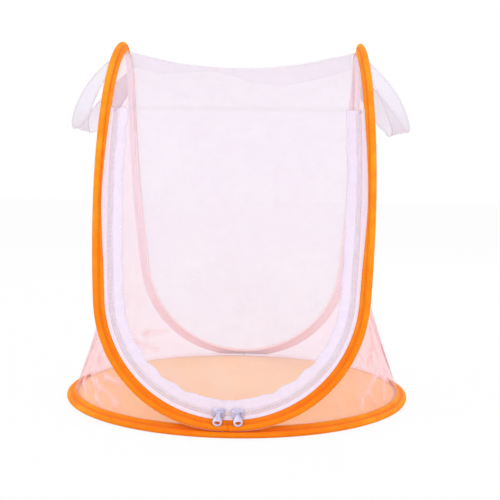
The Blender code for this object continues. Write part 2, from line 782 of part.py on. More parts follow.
def rounded_outline(width, length, neck, neck_width, steps):
    """Pull outline from its neck at the eye to its round end, in x and y, y running down."""
    radius = width / 2
    throat = -neck - radius * NECK_SHARE
    shoulder = -neck - radius * SHOULDER_SHARE
    points = [(-neck_width / 2, -neck), (-neck_width / 2, throat), (-radius, shoulder)]
    for step in range(steps + 1):
        angle = math.pi + math.pi * step / steps
        points.append((radius * math.cos(angle), -(length - radius) + radius * math.sin(angle)))
    points += [(radius, shoulder), (neck_width / 2, throat), (neck_width / 2, -neck)]
    return points


def flat_spline(curve, points):
    spline = curve.splines.new("POLY")
    spline.points.add(len(points) - 1)
    for spot, (x, y) in zip(spline.points, points):
        spot.co = (x, y, 0, 1)
    spline.use_cyclic_u = True


def make_pull(name, hinge):
    """A flat pull with an oval hole, its neck rolled round the bail bar."""
    eye_inner = BAIL_RADIUS + PULL_EYE_CLEARANCE
    eye_outer = eye_inner + PULL_EYE_WALL
    plate = bpy.data.curves.new(name + "_plate", "CURVE")
    plate.dimensions = "2D"
    plate.fill_mode = "BOTH"
    plate.extrude = PULL_THICKNESS / 2
    neck = (eye_inner + eye_outer) / 2
    neck_width = PULL_EYE_WIDTH * PULL_NECK_SHARE
    flat_spline(plate, rounded_outline(PULL_WIDTH, PULL_LENGTH, neck, neck_width, ROUND_STEPS * 2))
    middle = -(PULL_LENGTH - PULL_HOLE_EDGE - PULL_HOLE_HEIGHT / 2)
    hole = []
    for step in range(ROUND_STEPS * 2):
        angle = 2 * math.pi * step / (ROUND_STEPS * 2)
        hole.append((PULL_HOLE_WIDTH / 2 * math.cos(angle), middle + PULL_HOLE_HEIGHT / 2 * math.sin(angle)))
    flat_spline(plate, hole)
    tab = guide(name + "_tab", curve_to_mesh(plate, BAIL_RADIUS * WELD_SHARE), hinge)

    outline = bmesh.new()
    half = PULL_EYE_WIDTH / 2
    corners = [(-half, eye_outer), (half, eye_outer), (half, eye_inner), (-half, eye_inner)]
    spots = [outline.verts.new((x, y, 0)) for x, y in corners]
    for low, high in zip(spots, spots[1:] + spots[:1]):
        outline.edges.new((low, high))
    data = bpy.data.meshes.new(name)
    outline.to_mesh(data)
    outline.free()
    pull = add_part(name, data, (SLIDER_PAINT, 0.3, 0.7), hinge)
    turned = pull.modifiers.new("Eye", "SCREW")
    turned.axis = "X"
    turned.angle = 2 * math.pi
    turned.steps = ROUND_STEPS * 2
    turned.render_steps = ROUND_STEPS * 2
    turned.use_merge_vertices = True
    turned.merge_threshold = BAIL_RADIUS * WELD_SHARE
    turned.use_normal_flip = True
    union(pull, [tab])


def make_sliders():
    centre, rise, outward = profile_at(0.0)
    centre = centre + rise * ARC_RADIUS
    plane = Matrix((Vector((1, 0, 0)), rise, outward)).transposed().to_4x4()
    radius = ARC_RADIUS - CHAIN_DEPTH
    for side, label in ((-1, "left"), (1, "right")):
        angle = side * SLIDER_REST_OFFSET / radius
        axis = bpy.data.objects.new("slider_axis_" + label, None)
        axis.matrix_world = Matrix.Translation(centre) @ plane @ Matrix.Rotation(angle, 4, "Z")
        PARTS.objects.link(axis)
        seat = bpy.data.objects.new("slider_seat_" + label, None)
        seat.parent = axis
        seat.location = (0, -radius, 0)
        PARTS.objects.link(seat)
        make_slider("slider_" + label, -side, seat)
        hinge = bpy.data.objects.new("pull_axis_" + label, None)
        hinge.parent = seat
        hinge.location = (0, 0, BAIL_HEIGHT)
        hinge.rotation_euler = (-PULL_REST_LIFT, 0, 0)
        PARTS.objects.link(hinge)
        make_pull("slider_pull_" + label, hinge)


# Carrying straps

def wire_at_height(height):
    """Where the tall hoop's wire passes a height on its right front arm."""
    shares = [step / TABLE_STEPS ** 2 for step in range(TABLE_STEPS ** 2 + 1)]
    return min((hoop_frame(share)[0] for share in shares), key=lambda spot: abs(spot.z - height))


def strap_row(run, low, high):
    """Across the strap, from its lower to its upper edge, at an angle round the loop."""
    fall = mix(STRAP_ARC_START, STRAP_ARC_END, math.sin(run))
    tilt = STRAP_TILT * math.sin(run)
    out = STRAP_ARC_RADIUS * (math.sin(fall) - math.sin(STRAP_ARC_START))
    drop = STRAP_ARC_RADIUS * (math.cos(STRAP_ARC_START) - math.cos(fall))
    row = []
    for column in range(3):
        end = low.lerp(high, column / 2)
        across = STRAP_WIDTH * (column - 1) / 2
        x = end.x + out + across * math.sin(tilt)
        row.append(Vector((x, end.y * math.cos(run), end.z - drop + across * (math.cos(tilt) - 1))))
    return row


def make_straps():
    """Loops of strap that leave the front arm, droop outwards and come back to the rear arm."""
    low = wire_at_height(STRAP_TOP_HEIGHT - STRAP_WIDTH)
    high = wire_at_height(STRAP_TOP_HEIGHT)
    lean = (high - low).normalized().x
    beside = (TUBE_OUTER + RUNNING_GAP + STRAP_THICKNESS / 2) / math.sqrt(1 - lean * lean)
    low, high = low + Vector((beside, 0, 0)), high + Vector((beside, 0, 0))
    for name, side in (("handle_left", -1), ("handle_right", 1)):
        flip = Vector((side, 1, 1))
        hinge = bpy.data.objects.new(name + "_axis", None)
        hinge.location = Vector((high.x, 0, STRAP_TOP_HEIGHT)) * flip
        PARTS.objects.link(hinge)
        rows = []
        for step in range(STRAP_STEPS + 1):
            rows.append([spot * flip for spot in strap_row(math.pi * step / STRAP_STEPS, low, high)])
        sheet(name, rows, STRAP_THICKNESS, (LILAC_TAPE, 0.8), hinge)


clear_scene()
PARTS = new_collection("insect_cage")
CUTTERS = new_collection("cutters")
make_base()
make_floor()
make_hoop()
make_side_walls()
make_rear_and_roof()
DOOR_AXIS = bpy.data.objects.new("door_axis", None)
DOOR_AXIS.location = front_point(0.0, DOOR_TOP_LENGTH, MESH_THICKNESS / 2)
PARTS.objects.link(DOOR_AXIS)
make_zip(DOOR_AXIS)
make_sliders()
make_straps()
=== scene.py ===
import bisect
from math import asin, cos, exp, hypot, pi, radians, sin, sqrt

import bmesh
import bpy
from mathutils import Matrix, Vector
from mathutils.noise import noise


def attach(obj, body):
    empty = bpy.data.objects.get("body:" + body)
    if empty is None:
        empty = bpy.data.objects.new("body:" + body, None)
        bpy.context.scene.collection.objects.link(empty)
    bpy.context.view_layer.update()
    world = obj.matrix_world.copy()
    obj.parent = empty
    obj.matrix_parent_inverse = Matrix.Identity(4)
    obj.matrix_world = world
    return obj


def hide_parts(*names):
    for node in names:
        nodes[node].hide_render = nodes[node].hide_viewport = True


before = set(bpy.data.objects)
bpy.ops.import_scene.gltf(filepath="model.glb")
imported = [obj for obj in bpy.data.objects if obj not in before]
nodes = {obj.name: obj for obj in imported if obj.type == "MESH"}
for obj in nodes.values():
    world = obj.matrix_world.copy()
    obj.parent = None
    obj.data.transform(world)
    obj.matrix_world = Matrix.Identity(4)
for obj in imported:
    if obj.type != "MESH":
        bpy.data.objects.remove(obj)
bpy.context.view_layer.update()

print("frame loaded", len(nodes), "nodes")

# sizes of the cage in metres, as the solids have them; a reach runs along a hem, away from its wire

cage = dict(
    baseDiameter=0.340, height=0.350, gap=0.0003,
    tubeOuter=0.00255, band=0.0115, hemPly=0.00065, hemSlit=0.0004, seamInset=0.0010,
    baseSlope=radians(34), lean=radians(16), hoopSeat=0.0042,
    arcRadius=0.1103, arcEnd=radians(85), arcShare=0.38,
    armRise=0.160, tipHalf=0.1115, tipRounding=0.056,
    turnShares=(0.0, 0.19, 0.38, 0.69, 1.0), turns=[radians(v) for v in (40, 16, 36, 53, 62)],
    netThick=0.0006, roofSag=0.0165, doorTop=0.280, hingeGap=0.0003, tuck=0.075, fanPower=2.2,
)
zipSizes = dict(chain=0.0053, tapeInner=0.0165, tapeOver=0.0032, tapeThick=0.0005, netLap=0.0030,
                toothPitch=0.00115, toothHalf=0.00096, toothHeight=0.00046, toothWire=0.00026,
                rowCentre=0.00112, topStop=0.0042, coilStart=0.0006, steps=180, tapeSteps=190,
                frayed=0.0017, netUnder=0.0008, stitchInset=0.0016, stitchLift=0.00028,
                outerStitchShare=0.6, outerStitchLift=0.00032)
armSteps = 240   # steps up the side profile, above the hoop's round bottom

hemHalf = cage["hemPly"] + cage["hemSlit"] / 2
hemReach = cage["band"] - cage["tubeOuter"]
seamReach = hemReach - cage["seamInset"]
seamLift = hemHalf + cage["gap"] + cage["netThick"] / 2
baseRadius = cage["baseDiameter"] / 2 - cage["tubeOuter"]


def mix(a, b, t):
    return a + (b - a) * t


def steps(count):
    # from 0 to 1 in even steps
    return [i / count for i in range(count + 1)]


def around(count):
    # the angles of even steps round a ring
    return [2 * pi * i / count for i in range(count)]


def ease(t):
    # from 0 to 1 with soft ends
    t = min(max(t, 0.0), 1.0)
    return t * t * (3 - 2 * t)


def bump(t, centre, width):
    # a bell of height 1
    return exp(-((t - centre) / width) ** 2)


def bezier(p, t):
    return (1 - t) ** 3 * p[0] + 3 * (1 - t) ** 2 * t * p[1] + 3 * (1 - t) * t * t * p[2] + t ** 3 * p[3]


# the front sheet: straight rows along X, with a side profile that leans and then curls over

def hemAxes(inward, outward, turn):
    # along a hem away from its wire, and out of its face
    along = inward * cos(turn) - outward * sin(turn)
    return along, outward * cos(turn) + inward * sin(turn)


def buildProfile():
    slope, lean = cage["baseSlope"], cage["lean"]
    radius, end = cage["arcRadius"], cage["arcEnd"]
    inward = Vector((0, cos(slope), sin(slope)))
    upward = Vector((0, -sin(slope), cos(slope)))
    foot = Vector((0, -baseRadius, cage["tubeOuter"])) + inward * cage["hoopSeat"]
    foot += upward * (hemHalf + cage["gap"] + cage["tubeOuter"])
    leanUp = Vector((0, sin(lean), cos(lean)))
    leanOut = Vector((0, -cos(lean), sin(lean)))
    along, face = hemAxes(leanUp, leanOut, cage["turns"][0])
    start = foot + along * seamReach + face * seamLift
    along, face = hemAxes(Vector((-1, 0, 0)), Vector((0, 0, 1)), cage["turns"][-1])
    tipHeight = cage["height"] - cage["tubeOuter"] + along.z * seamReach + face.z * seamLift
    rise = radius * (1 - cos(end))
    top = start + leanUp * rise + Vector((radius * sin(end), 0, 0))
    heading = leanUp * sin(end) + Vector((cos(end), 0, 0))
    tip = Vector((cage["tipHalf"], 0, tipHeight))
    arm = (top, top + heading * cage["armRise"], tip - Vector((0, cage["tipRounding"], 0)), tip)
    rows = [(0.0, start.y, start.z), (rise, top.y, top.z)]
    for t in steps(armSteps)[1:]:
        spot = bezier(arm, t)
        length, y, z = rows[-1]
        rows.append((length + hypot(spot.y - y, spot.z - z), spot.y, spot.z))
    return arm, rows


arm, profile = buildProfile()
profileLengths = [row[0] for row in profile]
ridgeLength = profileLengths[-1]


def profileAt(length):
    # the profile's place at this length, its way up and its way out
    length = min(max(length, 0.0), ridgeLength)
    step = min(max(bisect.bisect_left(profileLengths, length), 1), len(profile) - 1)
    low, high = profile[step - 1], profile[step]
    share = (length - low[0]) / (high[0] - low[0])
    rise = Vector((0, high[1] - low[1], high[2] - low[2])).normalized()
    spot = Vector((0, mix(low[1], high[1], share), mix(low[2], high[2], share)))
    return spot, rise, Vector((0, -rise.z, rise.y))


def lengthAtHeight(height):
    for low, high in zip(profile, profile[1:]):
        if high[2] >= height:
            return mix(low[0], high[0], (height - low[2]) / (high[2] - low[2]))
    return ridgeLength


doorTopLength = lengthAtHeight(cage["doorTop"])


def sagAt(x, length):
    share = (length - doorTopLength) / (ridgeLength - doorTopLength)
    across = x / cage["tipHalf"]
    return cage["roofSag"] * ease(share) * max(0.0, 1 - across * across)


def frontPoint(x, length, lift=0.0):
    spot, rise, outward = profileAt(length)
    return spot + outward * lift + Vector((x, 0, -sagAt(x, length)))


def edgeFlat(share):
    # the hoop's edge on the sheet laid flat: the place across it and the length up it
    if share <= cage["arcShare"]:
        angle = cage["arcEnd"] * share / cage["arcShare"]
        return cage["arcRadius"] * sin(angle), cage["arcRadius"] * (1 - cos(angle))
    t = (share - cage["arcShare"]) / (1 - cage["arcShare"])
    spot = t * armSteps
    step = min(int(spot), armSteps - 1)
    return bezier(arm, t).x, mix(profile[step + 1][0], profile[step + 2][0], spot - step)


def edgeInward(share):
    if share <= 0.0:
        return Vector((0, 1))
    if share >= 1.0:
        return Vector((-1, 0))
    nearby = 0.0008
    low, high = edgeFlat(max(share - nearby, 0.0)), edgeFlat(min(share + nearby, 1.0))
    run = Vector((high[0] - low[0], high[1] - low[1])).normalized()
    return Vector((-run.y, run.x))


def edgeOffset(share, depth):
    # the same place, moved in from the edge
    x, length = edgeFlat(share)
    inward = edgeInward(share)
    return x + inward.x * depth, length + inward.y * depth


def shareAtLength(target, depth=0.0):
    low, high = 0.0, 1.0
    for halving in range(40):
        middle = (low + high) / 2
        if edgeOffset(middle, depth)[1] < target:
            low = middle
        else:
            high = middle
    return (low + high) / 2


doorTopShare = shareAtLength(doorTopLength)


def hemTurn(share):
    # how far the hoop's hem is turned about its wire
    shares, turns = cage["turnShares"], cage["turns"]
    for k in range(len(shares) - 1):
        if share <= shares[k + 1]:
            return mix(turns[k], turns[k + 1], ease((share - shares[k]) / (shares[k + 1] - shares[k])))
    return turns[-1]


def hoopFrame(share, side=1, back=1):
    # the hoop's wire at this share of its quarter, and its hem's two directions
    x, length = edgeFlat(share)
    spot, rise, outward = profileAt(length)
    flatInward = edgeInward(share)
    inward = Vector((flatInward.x, 0, 0)) + rise * flatInward.y
    along, face = hemAxes(inward, outward, hemTurn(share))
    wire = spot + Vector((x, 0, 0)) - along * seamReach - face * seamLift
    flip = Vector((side, back, 1))
    return wire * flip, along * flip, face * flip


def hemSpot(reach, lift):
    # a place on the base's hem: its radius and its height
    cosine, sine = cos(cage["baseSlope"]), sin(cage["baseSlope"])
    return baseRadius - reach * cosine + lift * sine, cage["tubeOuter"] + reach * sine + lift * cosine


def ringPoint(radius, angle, height):
    return Vector((radius * sin(angle), -radius * cos(angle), height))


# shader maths as Python expressions

class Val:
    def __init__(self, tree, socket):
        self.tree, self.socket = tree, socket

    def _math(self, operation, *others):
        return self.tree.node("ShaderNodeMath", [self, *others], operation=operation)

    def __add__(self, other):
        return self._math("ADD", other)

    def __sub__(self, other):
        return self._math("SUBTRACT", other)

    def __mul__(self, other):
        return self._math("MULTIPLY", other)

    def __radd__(self, other):
        return self + other

    def __rmul__(self, other):
        return self * other

    def __rsub__(self, other):
        return self.tree.node("ShaderNodeMath", [other, self], operation="SUBTRACT")

    def sine(self):
        return self._math("SINE")

    def size(self):
        return self._math("ABSOLUTE")

    def fract(self):
        return self._math("FRACT")

    def largest(self, other):
        return self._math("MAXIMUM", other)

    def smallest(self, other):
        return self._math("MINIMUM", other)

    def above(self, low, high):
        # 0 below low, 1 above high, smooth between them
        values = {"Value": self, "From Min": low, "From Max": high}
        return self.tree.node("ShaderNodeMapRange", values, interpolation_type="SMOOTHSTEP")


class Graph:
    def __init__(self, tree):
        self.tree = tree
        tree.nodes.clear()

    def node(self, kind, values=(), out=0, **settings):
        # values are the inputs, by name or in order
        made = self.tree.nodes.new(kind)
        for key, value in settings.items():
            setattr(made, key, value)
        for key, value in values.items() if isinstance(values, dict) else enumerate(values):
            if isinstance(value, Val):
                self.tree.links.new(value.socket, made.inputs[key])
            else:
                made.inputs[key].default_value = value
        return Val(self, made.outputs[out]) if made.outputs else None

    def rays(self, *kinds):
        path = self.node("ShaderNodeLightPath").socket.node
        return [Val(self, path.outputs["Is " + kind + " Ray"]) for kind in kinds]

    def seenPath(self):
        # rays that show the background itself: from the camera, off gloss and through glass
        camera, glossy, through = self.rays("Camera", "Glossy", "Transmission")
        return camera.largest(glossy).largest(through)


class Finish(Graph):
    def __init__(self, name):
        self.material = bpy.data.materials.new(name)
        self.material.use_nodes = True
        super().__init__(self.material.node_tree)

    def part(self, value, axis):
        split = self.node("ShaderNodeSeparateXYZ", [value])
        return Val(self, split.socket.node.outputs[axis])

    def objectPlace(self):
        return self.node("ShaderNodeTexCoord", out="Object")

    def cloth(self):
        uv = self.node("ShaderNodeUVMap", uv_map="cloth")
        return self.part(uv, 0), self.part(uv, 1)

    def letsLightOn(self, cover):
        # thin cloth scatters light forward, so it throws a fainter shadow than it hides
        shadow, scattered = self.rays("Shadow", "Diffuse")
        return cover * (1 - shadow.largest(scattered) * yarn["lightShare"])

    def mark(self, name):
        return self.node("ShaderNodeAttribute", out="Fac", attribute_name=name)

    def noise(self, scale, detail=3.0, rough=0.55):
        values = {"Vector": self.objectPlace(), "Scale": scale, "Detail": detail, "Roughness": rough}
        return self.node("ShaderNodeTexNoise", values, "Fac")

    def tint(self, amount, first, second):
        return self.node("ShaderNodeMix", {0: amount, 6: first, 7: second}, 2, data_type="RGBA")

    def raised(self, height, strength, distance):
        return self.node("ShaderNodeBump", {"Height": height, "Strength": strength, "Distance": distance})

    def close(self, **sockets):
        values = {key.replace("_", " "): value for key, value in sockets.items()}
        self.node("ShaderNodeOutputMaterial", {"Surface": self.node("ShaderNodeBsdfPrincipled", values)})
        return self.material


def rgb(*channels):
    # a colour given as 0 to 255, as the shaders want it
    shares = [channel / 255 for channel in channels]
    return (*(c / 12.92 if c <= 0.04045 else ((c + 0.055) / 1.055) ** 2.4 for c in shares), 1.0)


def waves(spacing):
    # turns a length in metres into the angle of a wave with this spacing
    return 2 * pi / spacing


# the spacings of the threads in metres, and the share of light that thin cloth lets on
yarn = dict(net=0.0013, warp=0.0010, weft=0.0009, rib=0.0016, tape=0.0011, strap=0.0016, floor=0.0012,
            lightShare=0.85)


def netting(name, light, shade, fold, cover):
    # cover is what one face of the netting hides; gathered netting hides more
    f = Finish(name)
    u, v = f.cloth()
    first, second = ((slant * (1 / yarn["net"])).fract() - 0.5 for slant in (u + v, u - v))
    strand = 1 - first.size().smallest(second.size()).above(0.06, 0.22)
    cloud = f.noise(14, 4)
    drift = f.noise(45, 2)
    gather = f.mark("gather")
    tone = f.tint(gather, f.tint(cloud.above(0.35, 0.7), light, shade), fold)
    weave = (strand * 0.6 + 0.7 + (drift - 0.5) * 0.6) * cover
    return f.close(Base_Color=tone, Roughness=0.62, Alpha=f.letsLightOn(weave + gather * 0.50),
                   Normal=f.raised(strand, 0.12, 0.0002),
                   Sheen_Weight=0.15, Sheen_Roughness=0.5, Specular_IOR_Level=0.1)


def binding(name, light, mid, creaseShade, low):
    # low is a deeper orange, painted shade on the tape's front length; the deepest orange is painted shade
    # in the tape's creases
    f = Finish(name)
    u, v = f.cloth()
    weave = (u * waves(yarn["warp"])).sine() * (v * waves(yarn["weft"])).sine()
    rib = (v * waves(yarn["rib"]) + (u * 90).sine() * 0.6).sine()
    cloud = f.noise(60, 5, 0.6)
    pull = f.noise(16, 2)
    worn = f.tint(cloud.above(0.36, 0.68), mid, light)
    # painted shade: the tape turns the deepest orange along its creases beside the wire, where shade falls,
    # unevenly by noise
    crease = f.mark("crease") * (0.30 + pull * 0.45)
    # painted shade: the length towards the front, at negative Y, turns a deeper orange
    ahead = (0 - f.part(f.objectPlace(), 1)).above(0.105, 0.165)
    tone = f.tint(crease, f.tint(ahead * 0.6, worn, low), creaseShade)
    height = weave * 0.35 + rib * 0.3 + cloud * 1.6
    return f.close(Base_Color=tone, Roughness=0.58 + cloud * 0.2, Normal=f.raised(height, 0.45, 0.0006),
                   Sheen_Weight=0.03, Sheen_Roughness=0.4, Sheen_Tint=light, Specular_IOR_Level=0.15)


def wovenTape(name, light, shade, cover, spacing=yarn["tape"], low=None):
    # low is the colour of the tape's lowest part, where it differs
    f = Finish(name)
    u, v = f.cloth()
    zigzag = ((v * (0.5 / spacing)).fract() - 0.5).size() * 2
    herring = ((u * (1 / spacing) + zigzag).fract() - 0.5).size() * 2
    cloud = f.noise(110, 4, 0.6)
    if low:
        light = f.tint(f.part(f.objectPlace(), 2).above(0.09, 0.16), low, light)
    tone = f.tint(herring * 0.35 + cloud * 0.65, light, shade)
    return f.close(Base_Color=tone, Roughness=0.72 + herring * 0.12,
                   Alpha=f.letsLightOn(cover + herring * 0.08 - 0.04),
                   Normal=f.raised(herring + cloud, 0.4, 0.0004), Sheen_Weight=0.3, Specular_IOR_Level=0.25)


def floorCloth(name, light, shade):
    f = Finish(name)
    u, v = f.cloth()
    weave = (u * waves(yarn["floor"])).sine() * (v * waves(yarn["floor"])).sine()
    cloud = f.noise(9, 5, 0.55)
    fine = f.noise(120, 3)
    tone = f.tint(cloud.above(0.32, 0.7), light, shade)
    return f.close(Base_Color=tone, Roughness=0.66 + fine * 0.12, Sheen_Weight=0.3,
                   Normal=f.raised(weave + cloud * 6, 0.3, 0.0006), Specular_IOR_Level=0.3)


def thread(name, light, shade):
    f = Finish(name)
    twist = (f.part(f.objectPlace(), 0) * 2600 + f.part(f.objectPlace(), 2) * 3100).sine()
    return f.close(Base_Color=f.tint(twist * 0.5 + 0.5, light, shade), Roughness=0.6, Sheen_Weight=0.3,
                   Normal=f.raised(twist, 0.4, 0.0002))


def plainPart(name, light, shade, metal, rough, grain, coat=0.0):
    f = Finish(name)
    cloud = f.noise(grain, 4, 0.6)
    spots = f.noise(grain * 6, 2)
    tone = f.tint(cloud.above(0.35, 0.7), light, shade)
    return f.close(Base_Color=tone, Metallic=metal, Roughness=rough + (spots - 0.5) * 0.18,
                   Coat_Weight=coat, Normal=f.raised(cloud + spots, 0.12, 0.0003))


looks = dict(
    front=netting("netFront", rgb(237, 225, 244), rgb(233, 220, 241), rgb(250, 238, 247), 0.19),
    side=netting("netSide", rgb(253, 192, 202), rgb(252, 183, 196), rgb(255, 228, 236), 0.18),
    rear=netting("netRear", rgb(238, 223, 243), rgb(235, 218, 240), rgb(250, 232, 241), 0.20),
    facing=netting("netFacing", rgb(253, 242, 251), rgb(251, 238, 248), rgb(255, 229, 233), 0.74),
    ridge=wovenTape("ridgeSeam", rgb(244, 234, 248), rgb(239, 227, 244), 0.24),
    strap=wovenTape("strapNet", rgb(240, 231, 246), rgb(230, 220, 239), 0.42, yarn["strap"]),
    strapHem=wovenTape("strapHem", rgb(253, 247, 255), rgb(248, 241, 253), 0.28, yarn["strap"]),
    # the binding's last two oranges are painted shade: in its creases, and on its front length
    orange=binding("orangeBinding", rgb(255, 165, 28), rgb(255, 143, 10), rgb(250, 112, 0),
                   rgb(248, 114, 2)),
    floor=floorCloth("orangeFloor", rgb(255, 193, 104), rgb(255, 180, 86)),
    tape=wovenTape("zipTape", rgb(247, 235, 251), rgb(235, 225, 247), 0.70),
    outerTape=wovenTape("zipTapeFrame", rgb(248, 231, 245), rgb(239, 225, 242), 0.80,
                        low=rgb(247, 236, 251)),
    coil=plainPart("coilNylon", rgb(250, 246, 254), rgb(242, 236, 250), 0.0, 0.42, 300),
    slider=plainPart("sliderPaint", rgb(208, 203, 228), rgb(180, 174, 206), 0.25, 0.34, 240, 0.35),
    steel=plainPart("springSteel", rgb(178, 178, 182), rgb(150, 150, 156), 1.0, 0.36, 400),
    orangeThread=thread("orangeThread", rgb(250, 116, 10), rgb(236, 96, 4)),
    lilacThread=thread("lilacThread", rgb(246, 240, 252), rgb(236, 229, 247)),
)
print("materials", len(looks))

# making and finishing pieces

weldGap = 0.00002   # points closer than this become one


def linked(name, data):
    made = bpy.data.objects.new(name, data)
    bpy.context.scene.collection.objects.link(made)
    return made


def place(name, mesh, body, look, replaced=()):
    piece = linked(name, mesh)
    mesh.materials.clear()
    mesh.materials.append(looks[look])
    for poly in mesh.polygons:
        poly.use_smooth = True
    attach(piece, body)
    if replaced:
        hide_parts(*replaced)
    return piece


def meshFrom(bm, name):
    mesh = bpy.data.meshes.new(name)
    bm.to_mesh(mesh)
    bm.free()
    return mesh


def runLengths(points):
    lengths = [0.0]
    for a, b in zip(points, points[1:]):
        lengths.append(lengths[-1] + (b - a).length)
    return lengths


def gridMesh(name, rows, closedRun=False, mark="", values=()):
    # rows of points, UVs in metres along and across, and a named value for each point
    bm = bmesh.new()
    uv = bm.loops.layers.uv.new("cloth")
    layer = bm.verts.layers.float.new(mark) if mark else None
    grid = [[bm.verts.new(p) for p in row] for row in rows]
    for row, amounts in zip(grid, values):
        for vert, amount in zip(row, amounts):
            vert[layer] = amount
    across = runLengths(rows[len(rows) // 2])
    run = [row[len(row) // 2] for row in rows]
    if closedRun:
        run.append(run[0])
    along = runLengths(run)
    for i in range(len(along) - 1):
        low, high = grid[i], grid[(i + 1) % len(rows)]
        for j in range(len(across) - 1):
            face = bm.faces.new((low[j], low[j + 1], high[j + 1], high[j]))
            for loop, (a, b) in zip(face.loops, ((i, j), (i, j + 1), (i + 1, j + 1), (i + 1, j))):
                loop[uv].uv = (along[a], across[b])
    bmesh.ops.remove_doubles(bm, verts=bm.verts[:], dist=weldGap)
    bmesh.ops.recalc_face_normals(bm, faces=bm.faces[:])
    return meshFrom(bm, name)


def declare(piece, width=None, length=None, pieces=()):
    # the flat cut, measured along the modelled cloth unless it is given
    uv = piece.data.uv_layers["cloth"].data
    width = max(width or max(spot.uv[1] for spot in uv), 0.01)
    length = length or max(spot.uv[0] for spot in uv)
    area = sum(face.area for face in piece.data.polygons)
    cut = None if area > 0.9 * width * length else area


def modify(piece, name, kind, **settings):
    modifier = piece.modifiers.new(name, kind)
    for key, value in settings.items():
        setattr(modifier, key, value)
    return piece


def fabric(name, rows, body, slot, look, thick, replaced=(), **marks):
    piece = place(name, gridMesh(name, rows, **marks), body, look, replaced)
    return modify(piece, "thickness", "SOLIDIFY", thickness=thick, offset=0)


# geometry nodes: one shape repeated along a path

coilSides = 10
coilWireSides = 5
coilLean = (pi / 2, 0, pi / 2 - 0.30)


def repeater(name, pitch, shape, look):
    tree = bpy.data.node_groups.new(name, "GeometryNodeTree")
    g = Graph(tree)
    face = tree.interface
    face.new_socket("Path", in_out="INPUT", socket_type="NodeSocketGeometry")
    for label, value in (("Pitch", pitch), *shape.items()):
        made = face.new_socket(label, in_out="INPUT", socket_type="NodeSocketFloat")
        made.default_value = value
    face.new_socket("Result", in_out="OUTPUT", socket_type="NodeSocketGeometry")
    given = {socket.name: Val(g, socket) for socket in tree.nodes.new("NodeGroupInput").outputs}
    toCurve = g.node("GeometryNodeMeshToCurve", {"Mesh": given["Path"]})
    points = g.node("GeometryNodeResampleCurve", {"Curve": toCurve, "Length": given["Pitch"]},
                    mode="LENGTH")
    up = g.node("GeometryNodeInputNamedAttribute", {"Name": "up"}, "Attribute", data_type="FLOAT_VECTOR")
    tangent = g.node("GeometryNodeInputTangent")
    turn = g.node("FunctionNodeAlignRotationToVector", {"Vector": tangent}, axis="X")
    roll = g.node("FunctionNodeAlignRotationToVector", {"Rotation": turn, "Vector": up},
                  axis="Z", pivot_axis="X")
    if "Wire" in shape:   # a coil turn: an oval ring that stands across the path
        ring = g.node("GeometryNodeCurvePrimitiveCircle", {"Resolution": coilSides, "Radius": 1.0})
        size = g.node("ShaderNodeCombineXYZ", [given["Width"], given["Height"], 1.0])
        oval = g.node("GeometryNodeTransform", {"Geometry": ring, "Scale": size, "Rotation": coilLean})
        wire = {"Resolution": coilWireSides, "Radius": given["Wire"]}
        profile = g.node("GeometryNodeCurvePrimitiveCircle", wire)
        body = g.node("GeometryNodeCurveToMesh", {"Curve": oval, "Profile Curve": profile})
    else:                 # a stitch: a short round thread lying along the path
        ball = g.node("GeometryNodeMeshIcoSphere", {"Radius": 1.0, "Subdivisions": 2})
        size = g.node("ShaderNodeCombineXYZ", [given["Length"], given["Width"], given["Height"]])
        body = g.node("GeometryNodeTransform", {"Geometry": ball, "Scale": size})
    spread = g.node("GeometryNodeInstanceOnPoints", {"Points": points, "Instance": body, "Rotation": roll})
    whole = g.node("GeometryNodeRealizeInstances", [spread])
    painted = g.node("GeometryNodeSetMaterial", {"Geometry": whole, "Material": looks[look]})
    g.node("NodeGroupOutput", [painted])
    return tree


stitch = dict(Length=0.00125, Width=0.00024, Height=0.0002)
stitchTree = repeater("stitchRow", 0.0034, stitch, "lilacThread")
orangeStitch = dict(Length=0.00130, Width=0.00026, Height=0.00022)
orangeStitchTree = repeater("orangeStitchRow", 0.0036, orangeStitch, "orangeThread")
coilTurn = dict(Width=zipSizes["toothHalf"], Height=zipSizes["toothHeight"], Wire=zipSizes["toothWire"])
coilTree = repeater("coilRow", zipSizes["toothPitch"], coilTurn, "coil")


def alongPath(name, tree, paths, body, look, replaced=()):
    # paths: lists of (point, up) pairs
    bm = bmesh.new()
    up = bm.verts.layers.float_vector.new("up")
    for path in paths:
        last = None
        for spot, lift in path:
            vert = bm.verts.new(spot)
            vert[up] = lift
            if last:
                bm.edges.new((last, vert))
            last = vert
    holder = linked(name + "Path", meshFrom(bm, name + "Path"))
    modify(holder, "repeat", "NODES", node_group=tree)
    graph = bpy.context.evaluated_depsgraph_get()
    made = bpy.data.meshes.new_from_object(holder.evaluated_get(graph))
    made.name = name
    bpy.data.objects.remove(holder)
    return place(name, made, body, look, replaced)


# base hoop: folded tape round the wire, floor cloth

band = dict(
    stations=300, halfStations=150, roundSteps=16, tape=0.0005, pucker=0.00022,
    stitchReach=0.0041, stitchStations=360, hoopStitchStations=120,
    plyShares=(0.08, 0.18, 0.28, 0.40, 0.55, 0.70, 0.85, 1.0),   # a ply's points, from the wire out
    dent=0.55, dentAt=0.24, dentWidth=0.16,                      # the plies lie closer beside the wire
    # the crease weights set painted shade: how dark the tape is painted beside the wire, where, how wide,
    # and the least the plies get everywhere
    crease=0.9, creaseAt=0.22, creaseWidth=0.2, creaseLeast=0.12,
)
stitchLift = hemHalf * 0.62 + 0.0001


